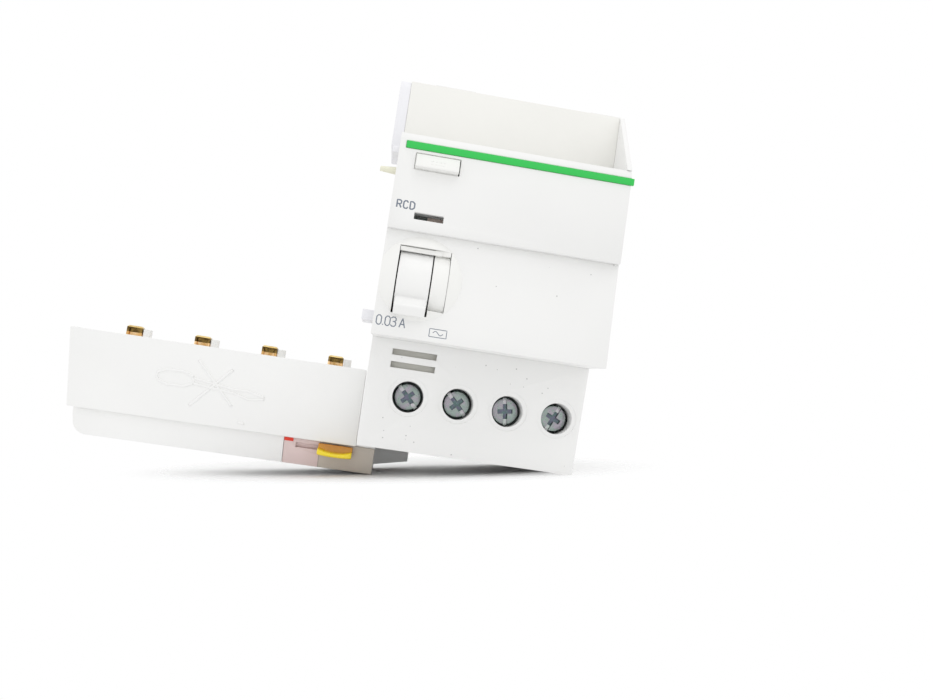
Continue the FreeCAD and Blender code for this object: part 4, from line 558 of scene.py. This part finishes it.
for radius, eased in edge_radii.items():
    for node in eased:
        ease(node, radius * MM)
print("eased pieces:", sum(len(eased) for eased in edge_radii.values()))

# %% [markdown]
# ## Pieces made in mesh code
#
# Small relief, print, wire and braid are too fine for the working design, so they are built here.  All of
# them are oval strands swept along paths: a flat strand is print, a domed one is relief, a round one is
# wire.  A strand laid on a moulding finds its surface by a ray from the front, so it follows every slope
# it crosses.

# %% Mesh helpers
FRONT = 0.09
STRAND_SIDES = 8


def spot(x, depth, height):
    """A point in millimetres, its depth measured out from the wall."""
    return Vector((x, -depth, height)) * MM


def new_piece(name, points, faces, finish, smooth=True):
    """A mesh object with one finish."""
    mesh = bpy.data.meshes.new(name)
    mesh.from_pydata([tuple(point) for point in points], [], faces)
    mesh.polygons.foreach_set("use_smooth", [smooth] * len(faces))
    mesh.materials.append(finish)
    mesh.update()
    piece = bpy.data.objects.new(name, mesh)
    bpy.context.scene.collection.objects.link(piece)
    return piece


def strands(paths, half_width, half_height, sides=STRAND_SIDES):
    """Points and faces of closed oval strands; each path comes with the direction that counts as up."""
    points, faces = [], []
    for path, up in paths:
        first = len(points)
        for index, place in enumerate(path):
            along = (path[min(index + 1, len(path) - 1)] - path[max(index - 1, 0)]).normalized()
            side = along.cross(up).normalized()
            rise = side.cross(along)
            for step in range(sides):
                angle = math.tau * step / sides
                points.append(place + side * (half_width * math.cos(angle))
                              + rise * (half_height * math.sin(angle)))
        for index in range(len(path) - 1):
            ring = first + index * sides
            for step in range(sides):
                ahead = (step + 1) % sides
                faces.append((ring + step, ring + ahead, ring + sides + ahead, ring + sides + step))
        last = first + (len(path) - 1) * sides
        faces.append(tuple(range(first + sides - 1, first - 1, -1)))
        faces.append(tuple(range(last, last + sides)))
    return points, faces


def surface_of(node):
    """Ray target made from a frame piece's mesh."""
    mesh = frame["nodes"][node].data
    return BVHTree.FromPolygons([point.co.copy() for point in mesh.vertices],
                                [tuple(face.vertices) for face in mesh.polygons])


def laid_on(target, outline, spacing=0.5):
    """A path of (x, height) corners in millimetres, dropped on a surface from the front."""
    corners = []
    for start, end in zip(outline, outline[1:]):
        pieces = max(1, math.ceil(math.dist(start, end) / spacing))
        for step in range(pieces):
            share = step / pieces
            corners.append((start[0] + (end[0] - start[0]) * share, start[1] + (end[1] - start[1]) * share))
    corners.append(outline[-1])
    path = []
    for x, height in corners:
        hit, normal = target.ray_cast(Vector((x * MM, -FRONT, height * MM)), Vector((0.0, 1.0, 0.0)))[:2]
        if hit is not None:
            path.append(hit)
            up = normal
    return path, up


print("mesh helpers ready")

# %% [markdown]
# ## Print
#
# The nose carries three short generic prints: the kind of device, its rated residual current and the
# boxed wave that stands for alternating current.  Letters are strokes of constant width, as a pad printer
# lays them.

# %% Pad-printed marks
LETTERS = {
    "R": [[(0, 0), (0, 1), (0.4, 1), (0.56, 0.88), (0.56, 0.6), (0.4, 0.48), (0, 0.48)],
          [(0.3, 0.48), (0.58, 0)]],
    "C": [[(0.58, 0.8), (0.44, 1), (0.16, 1), (0, 0.8), (0, 0.2), (0.16, 0), (0.44, 0), (0.58, 0.2)]],
    "D": [[(0, 0), (0, 1), (0.34, 1), (0.58, 0.78), (0.58, 0.22), (0.34, 0), (0, 0)]],
    "0": [[(0.15, 0), (0, 0.2), (0, 0.8), (0.15, 1), (0.37, 1), (0.52, 0.8), (0.52, 0.2), (0.37, 0),
           (0.15, 0)]],
    ".": [[(0.1, 0), (0.1, 0.1)]],
    "3": [[(0, 0.85), (0.15, 1), (0.38, 1), (0.52, 0.86), (0.52, 0.65), (0.38, 0.53), (0.2, 0.53)],
          [(0.38, 0.53), (0.54, 0.38), (0.54, 0.15), (0.38, 0), (0.15, 0), (0, 0.15)]],
    "A": [[(0, 0), (0.3, 1), (0.6, 0)], [(0.11, 0.34), (0.49, 0.34)]],
}
PRINT_HALF = 0.012 * MM
NARROW_LETTER = 0.5
WAVE_STEPS = 12
BOX_X = (-14.1, -10.2)
BOX_HEIGHT = (-21.3, -19.5)
BOX_STROKE = 0.09 * MM


def printed(name, text, node, left, low, height, advance, stroke):
    """A line of generic lettering on a frame piece."""
    target = surface_of(node)
    paths = []
    for letter in text:
        for outline in LETTERS.get(letter, []):
            paths.append(laid_on(target, [(left + x * height, low + z * height) for x, z in outline]))
        left += advance * (NARROW_LETTER if letter in ". " else 1.0)
    points, faces = strands(paths, stroke * MM, PRINT_HALF)
    piece = new_piece(name, points, faces, finishes["print_grey"])
    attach(piece, "main_unit")


def wave(left, middle, length, height):
    """One period of a sine wave as corners."""
    shares = [step / WAVE_STEPS for step in range(WAVE_STEPS + 1)]
    return [(left + length * share, middle + height * math.sin(math.tau * share)) for share in shares]


printed("print_kind", "RCD", "upper_fascia", -25.6, 6.5, 1.7, 1.5, 0.17)
printed("print_rating", "0.03 A", "front_cover", -26.2, -20.3, 2.1, 1.3, 0.13)
nose = surface_of("front_cover")
box_outline = [(BOX_X[0], BOX_HEIGHT[0]), (BOX_X[1], BOX_HEIGHT[0]), (BOX_X[1], BOX_HEIGHT[1]),
               (BOX_X[0], BOX_HEIGHT[1]), (BOX_X[0], BOX_HEIGHT[0])]
boxed_wave = [laid_on(nose, box_outline), laid_on(nose, wave(-13.3, -20.4, 2.3, 0.42), 0.3)]
wave_print = new_piece("print_wave", *strands(boxed_wave, BOX_STROKE, PRINT_HALF), finishes["print_grey"])
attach(wave_print, "main_unit")
print("prints: 3")

# %% [markdown]
# ## Moulded relief
#
# The screw shield has a screwdriver raised in outline under a cross, a sign to keep tools away, and a
# short dash sits low on it.  The test button has a faint raised bar under a row of dots.

# %% Relief on the shield and the button
RELIEF_WIDTH = 0.34 * MM
RELIEF_HEIGHT = 0.24 * MM
RELIEF_LEFT = -1.9
RELIEF_UP = 0.5
DOTS_LEFT = -19.3
DOTS_HEIGHT = 17.75
DOT_PITCH = 0.9
DOT_LENGTH = 0.4
BAR_HEIGHT = 17.0
BAR_RIGHT = -16.2
MARK_SPACING = 0.2
MARK_WIDTH = 0.12 * MM
MARK_HEIGHT = 0.05 * MM
shield = surface_of("screw_shield")
handle = [(-67.0, -38.4), (-69.5, -37.3), (-73.5, -37.4), (-75.6, -38.3), (-76.0, -39.4), (-75.3, -40.4),
          (-73.2, -41.0), (-69.3, -40.9), (-67.0, -40.0)]
shaft_top = [(-67.0, -38.6), (-56.5, -40.0), (-53.4, -39.9), (-49.4, -41.0)]
shaft_low = [(-67.0, -39.9), (-56.8, -40.9), (-53.4, -41.9), (-49.4, -41.4)]
falling_stroke = [(-66.1, -34.0), (-57.2, -44.2)]
rising_stroke = [(-57.7, -35.2), (-67.5, -45.5)]
collar = [(-67.0, -38.4), (-67.0, -40.0)]
dash = [(-55.3, -48.0), (-53.7, -48.1)]
relief = []
for outline in (handle, shaft_top, shaft_low, falling_stroke, rising_stroke, collar, dash):
    relief.append(laid_on(shield, [(x + RELIEF_LEFT, z + RELIEF_UP) for x, z in outline]))
ridges = strands(relief, RELIEF_WIDTH, RELIEF_HEIGHT)
shield_relief = new_piece("shield_relief", *ridges, finishes["block_white"])
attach(shield_relief, "connection_block")
button = surface_of("test_button")
dots = [[(DOTS_LEFT + step * DOT_PITCH, DOTS_HEIGHT), (DOTS_LEFT + step * DOT_PITCH + DOT_LENGTH, DOTS_HEIGHT)]
        for step in range(4)]
bar = [(DOTS_LEFT, BAR_HEIGHT), (BAR_RIGHT, BAR_HEIGHT)]
button_marks = [laid_on(button, outline, MARK_SPACING) for outline in dots + [bar]]
raised = strands(button_marks, MARK_WIDTH, MARK_HEIGHT)
button_relief = new_piece("button_relief", *raised, finishes["button_white"])
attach(button_relief, "test_button")
print("relief strands:", len(relief) + len(button_marks))

# %% [markdown]
# ## The lock's thumb scoop
#
# The yellow lock is pushed sideways with a thumb, so its face is a shallow scoop above a lip that curves
# like a smile.  It is swept along X from one outline.  The lip and the foot rise with the square of the
# distance from the middle, and both ends draw back a little.

# %% Scooped lock slide
LOCK_X = (-36.7, -28.0)
LOCK_TOP = -49.75
LOCK_LOW = -52.9
LOCK_BACK = (31.2, 31.0)
LIP_MIDDLE = -51.85
LIP_FRONT = 34.6
SCOOP_FRONT = 32.2
SCOOP_SLOPE = 0.25
SCOOP_STEPS = 5
LOCK_SMILE = 0.75
FOOT_SMILE = 0.35
LOCK_STATIONS = 33
END_PULL = 0.35
PULLED_FROM = 33.0
EASED_LOCK = 0.15 * MM
STEM_X = (-33.6, -31.1)
STEM_OUTLINE = [(31.6, -50.7), (31.6, -51.2), (29.4, -51.2), (29.4, -50.7)]
STRIP_X = (-43.2, -30.1)
STRIP_OUTLINE = [(29.82, -49.9), (29.5, -51.2), (29.06, -52.1), (28.6, -52.1), (29.0, -51.2), (29.3, -49.9)]


def lock_outline(share):
    """Outline of the lock at a share of its length, as (depth, height) corners."""
    rise = LOCK_SMILE * (2.0 * share - 1.0) ** 2
    lip = LIP_MIDDLE + rise
    scoop = [(SCOOP_FRONT + SCOOP_SLOPE * step / SCOOP_STEPS,
              LOCK_TOP + (lip + 0.35 - LOCK_TOP) * step / SCOOP_STEPS) for step in range(SCOOP_STEPS + 1)]
    edge = [(LIP_FRONT - 1.2, lip + 0.2), (LIP_FRONT - 0.4, lip), (LIP_FRONT, lip - 0.25)]
    heel = LOCK_LOW + rise * FOOT_SMILE
    foot = [(LIP_FRONT, heel + 0.4), (LIP_FRONT - 0.4, heel + 0.1)]
    return [(LOCK_BACK[0], LOCK_TOP)] + scoop + edge + foot + [(LOCK_BACK[1], LOCK_LOW)]


def lock_mesh():
    """Points and faces of the lock."""
    points, faces = [], []
    for station in range(LOCK_STATIONS):
        share = station / (LOCK_STATIONS - 1)
        pull = END_PULL * (abs(2.0 * share - 1.0) ** 12)
        x = LOCK_X[0] + (LOCK_X[1] - LOCK_X[0]) * share
        for depth, height in lock_outline(share):
            points.append(spot(x, depth - pull if depth > PULLED_FROM else depth, height))
    ring = len(points) // LOCK_STATIONS
    for station in range(LOCK_STATIONS - 1):
        for step in range(ring):
            ahead = (step + 1) % ring
            faces.append((station * ring + step, station * ring + ahead, (station + 1) * ring + ahead,
                          (station + 1) * ring + step))
    faces.append(tuple(range(ring - 1, -1, -1)))
    faces.append(tuple(range(len(points) - ring, len(points))))
    return points, faces


def plate(corners, left, right):
    """Points and faces of an outline of (depth, height) corners swept from left to right."""
    count = len(corners)
    points = [spot(x, depth, height) for x in (left, right) for depth, height in corners]
    faces = [(step, (step + 1) % count, count + (step + 1) % count, count + step) for step in range(count)]
    faces.append(tuple(range(count - 1, -1, -1)))
    faces.append(tuple(range(count, 2 * count)))
    return points, faces


lock_scoop = new_piece("lock_scoop", *lock_mesh(), finishes["lock_yellow"])
lock_round = lock_scoop.modifiers.new("ease edges", "BEVEL")
lock_round.width = EASED_LOCK
lock_round.segments = 3
lock_round.angle_limit = SHARP
lock_shade = lock_scoop.modifiers.new("shade", "NODES")
lock_shade.node_group = shade_by_angle
lock_stem = new_piece("lock_stem", *plate(STEM_OUTLINE, *STEM_X), finishes["lock_yellow"], smooth=False)
dust_strip = new_piece("dust_strip", *plate(STRIP_OUTLINE, *STRIP_X), finishes["strip_pink"], smooth=False)
for piece in (lock_scoop, lock_stem, dust_strip):
    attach(piece, "lock_slide")
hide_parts("lock_slide")
print("lock scoop faces:", len(lock_scoop.data.polygons))

# %% [markdown]
# ## Closing the last gaps
#
# The test button carries a thin skirt that closes its opening on three sides, and leaves the dark line at
# its right.  A small head above the toggle's cheek closes the corner beside the stop bar.

# %% Button skirt and cheek head
SKIRT_X = (-22.97, -12.95)
SKIRT_OUTLINE = [(61.2, 15.85), (61.2, 19.55), (58.8, 19.55), (58.8, 15.85)]
HEAD_X = (-15.25, -11.75)
HEAD_OUTLINE = [(60.3, -2.75), (60.3, -1.3), (58.6, -1.3), (58.6, -2.75)]
skirt = plate(SKIRT_OUTLINE, *SKIRT_X)
button_skirt = new_piece("button_skirt", *skirt, finishes["button_white"], smooth=False)
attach(button_skirt, "test_button")
cheek_head = new_piece("cheek_head", *plate(HEAD_OUTLINE, *HEAD_X), finishes["bezel_white"], smooth=False)
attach(cheek_head, "main_unit")
print("closing pieces: 2")

# %% [markdown]
# ## Springs and braids
#
# The working design's springs are coils of its own, fixed in length.  Here each is wound again, and the four
# braids become bundles of twisted strands that stretch between the main unit and the sliding block.

# %% Wound springs
INWARD = Vector((0.0, 1.0, 0.0))
UPWARD = Vector((0.0, 0.0, 1.0))
END_COILS = 0.75


def helix(centre, axis, radius, length, turns, steps=20):
    """Path of a coil with closed end turns."""
    across = axis.orthogonal().normalized()
    other = axis.cross(across)
    path = []
    total = int(turns * steps)
    for step in range(total + 1):
        angle = math.tau * step / steps
        share = min(max((step / steps - END_COILS) / (turns - 2 * END_COILS), 0.0), 1.0)
        path.append(centre + axis * (length * share) + across * (radius * math.cos(angle))
                    + other * (radius * math.sin(angle)))
    return path


def spring(name, node, axis, radius, turns, wire):
    """A wound spring in place of the design's, carried by the main unit."""
    low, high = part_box(node)
    middle = (low + high) / 2
    size = high - low
    length = abs(size.dot(axis)) - 2.2 * wire
    start = middle - axis * (length / 2)
    path = helix(start, axis, radius - wire, length, turns)
    piece = new_piece(name, *strands([(path, axis)], wire, wire), finishes["spring_steel"])
    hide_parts(node)
    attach(piece, "main_unit")
    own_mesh(piece)


spring("button_spring", "test_button_spring", INWARD, radius=2.2 * MM, turns=5,
       wire=0.17 * MM)
spring("plunger_spring", "relay_spring", UPWARD, radius=1.5 * MM, turns=7,
       wire=0.17 * MM)
spring("clip_spring", "rail_clip_spring", UPWARD, radius=0.7 * MM, turns=9,
       wire=0.16 * MM)
print("springs: 3")

# %% [markdown]
# A braid is flat, and its strands run over and under each other: half of them wind one way round the
# bundle and half the other.  The bundle runs straight up from the guide tube to the fixed conductor.

# %% Woven braids
BRAID_STRANDS = 10
BRAID_STEPS = 44
BRAID_WIDTH = 1.8 * MM
BRAIDS = 4
STRAND_RADIUS = 0.17 * MM
STRAND_SPARE = 1.1
STRAND_FACETS = 6
WEAVE_TURNS = 3.0
BRAID_SIDE = Vector((0.0, 0.0, 1.0)).cross(Vector((1.0, 0.3, 0.0)))


def braid_paths(low, high):
    """Strands winding round a flat bundle between two corners."""
    middle = (low + high) / 2
    half_x = (high.x - low.x) / 2 - STRAND_RADIUS * STRAND_SPARE
    half_y = (high.y - low.y) / 2 - STRAND_RADIUS * STRAND_SPARE
    paths = []
    for strand in range(BRAID_STRANDS):
        hand = 1.0 if strand % 2 else -1.0
        path = []
        for step in range(BRAID_STEPS + 1):
            share = step / BRAID_STEPS
            angle = hand * math.tau * WEAVE_TURNS * share + math.tau * strand / BRAID_STRANDS
            pinch = 0.82 + 0.18 * math.cos(2.0 * angle)
            path.append(Vector((middle.x + half_x * math.cos(angle) * pinch,
                                middle.y + half_y * math.sin(angle) * pinch,
                                low.z + (high.z - low.z) * share)))
        paths.append((path, BRAID_SIDE))
    return paths


braid_low, braid_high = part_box("flexible_braids")
braid_pitch = (braid_high.x - braid_low.x - BRAID_WIDTH) / (BRAIDS - 1)
for pole in range(BRAIDS):
    left = braid_low.x + braid_pitch * pole
    low_corner = Vector((left, braid_low.y, braid_low.z))
    high_corner = Vector((left + BRAID_WIDTH, braid_high.y, braid_high.z))
    weave = strands(braid_paths(low_corner, high_corner), STRAND_RADIUS, STRAND_RADIUS, STRAND_FACETS)
    woven = new_piece("braid_%d" % (pole + 1), *weave, finishes["braid_copper"])
    if pole == 0:
        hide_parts("flexible_braids")
    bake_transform(woven)
print("braids: 4")

# %% [markdown]
# ## Table, sky and lamps
#
# The device is nearly white on white, so the light has to model it: a white sky all round keeps every
# shadow open, a wide lamp above and in front brightens what faces up, and a weaker one from the left
# gives the steps their edges.  The table's colour fades out a few centimetres round the contact line, so
# that it has no horizon.

# %% Light the device and lay the table
TABLE_HALF = 0.5
TABLE_CLEARANCE = 0.05 * MM
FADE_START = 0.032
FADE_END = 0.060
FADE_SHIFT = (0.013, 0.0, 0.0)
FADE_STRETCH = (0.75, 1.0, 1.0)


def table_top():
    """Level table under the leaning device, as one square face."""
    mesh = bpy.data.meshes.new("table")
    half = TABLE_HALF
    corners = [(-half, -half, 0), (half, -half, 0), (half, half, 0), (-half, half, 0)]
    mesh.from_pydata(corners, [], [(0, 1, 2, 3)])
    table = bpy.data.objects.new("table", mesh)
    bpy.context.scene.collection.objects.link(table)
    middle = (tongue_edge + housing_edge) / 2
    normal = Vector((-math.sin(lean), 0.0, math.cos(lean)))
    table.matrix_world = (Matrix.Translation(middle - normal * TABLE_CLEARANCE)
                          @ turn_about("Y", -math.degrees(lean)))
    return table


def table_paint():
    """White matt paint that fades to nothing away from the device."""
    finish, tree, shader, place = new_finish("table paint")
    tree.links.new(two_tone(tree, noise(tree, place, 30.0), (0.90, 0.90, 0.90), (0.87, 0.87, 0.87)),
                   shader.inputs["Base Color"])
    shader.inputs["Roughness"].default_value = 0.6
    reach = add_node(tree, "VectorMath", operation="LENGTH")
    oval = add_node(tree, "Mapping", Vector=place, Location=FADE_SHIFT, Scale=FADE_STRETCH)
    tree.links.new(oval.outputs["Vector"], reach.inputs[0])
    fade = add_node(tree, "MapRange", interpolation_type="SMOOTHSTEP", From_Min=FADE_START, From_Max=FADE_END)
    tree.links.new(reach.outputs["Value"], fade.inputs["Value"])
    clear = add_node(tree, "BsdfTransparent")
    mix = add_node(tree, "MixShader")
    tree.links.new(fade.outputs["Result"], mix.inputs[0])
    tree.links.new(shader.outputs["BSDF"], mix.inputs[1])
    tree.links.new(clear.outputs["BSDF"], mix.inputs[2])
    output = next(node for node in tree.nodes if node.type == "OUTPUT_MATERIAL")
    tree.links.new(mix.outputs["Shader"], output.inputs["Surface"])
    return finish


def lamp(name, place, aim, size, power):
    """Square soft lamp aimed at a point."""
    light = bpy.data.lights.new(name, "AREA")
    light.size = size
    light.energy = power
    holder = bpy.data.objects.new(name, light)
    bpy.context.scene.collection.objects.link(holder)
    holder.location = place
    holder.rotation_euler = (Vector(aim) - Vector(place)).to_track_quat("-Z", "Y").to_euler()
    return holder


table = table_top()
table.data.materials.append(table_paint())
lamp("lamp above", (0.05, -0.35, 0.75), (-0.02, -0.03, 0.0), 0.7, 0.9)
lamp("lamp left", (-0.7, -0.5, 0.25), (-0.02, -0.03, -0.02), 0.5, 0.2)
sky = bpy.data.worlds.new("white sky")
sky.use_nodes = True
sky.node_tree.nodes["Background"].inputs["Color"].default_value = (1.0, 1.0, 1.0, 1.0)
sky.node_tree.nodes["Background"].inputs["Strength"].default_value = 1.0
bpy.context.scene.world = sky
bpy.context.scene.view_settings.view_transform = "Standard"
print("lamps:", len(bpy.data.lights))
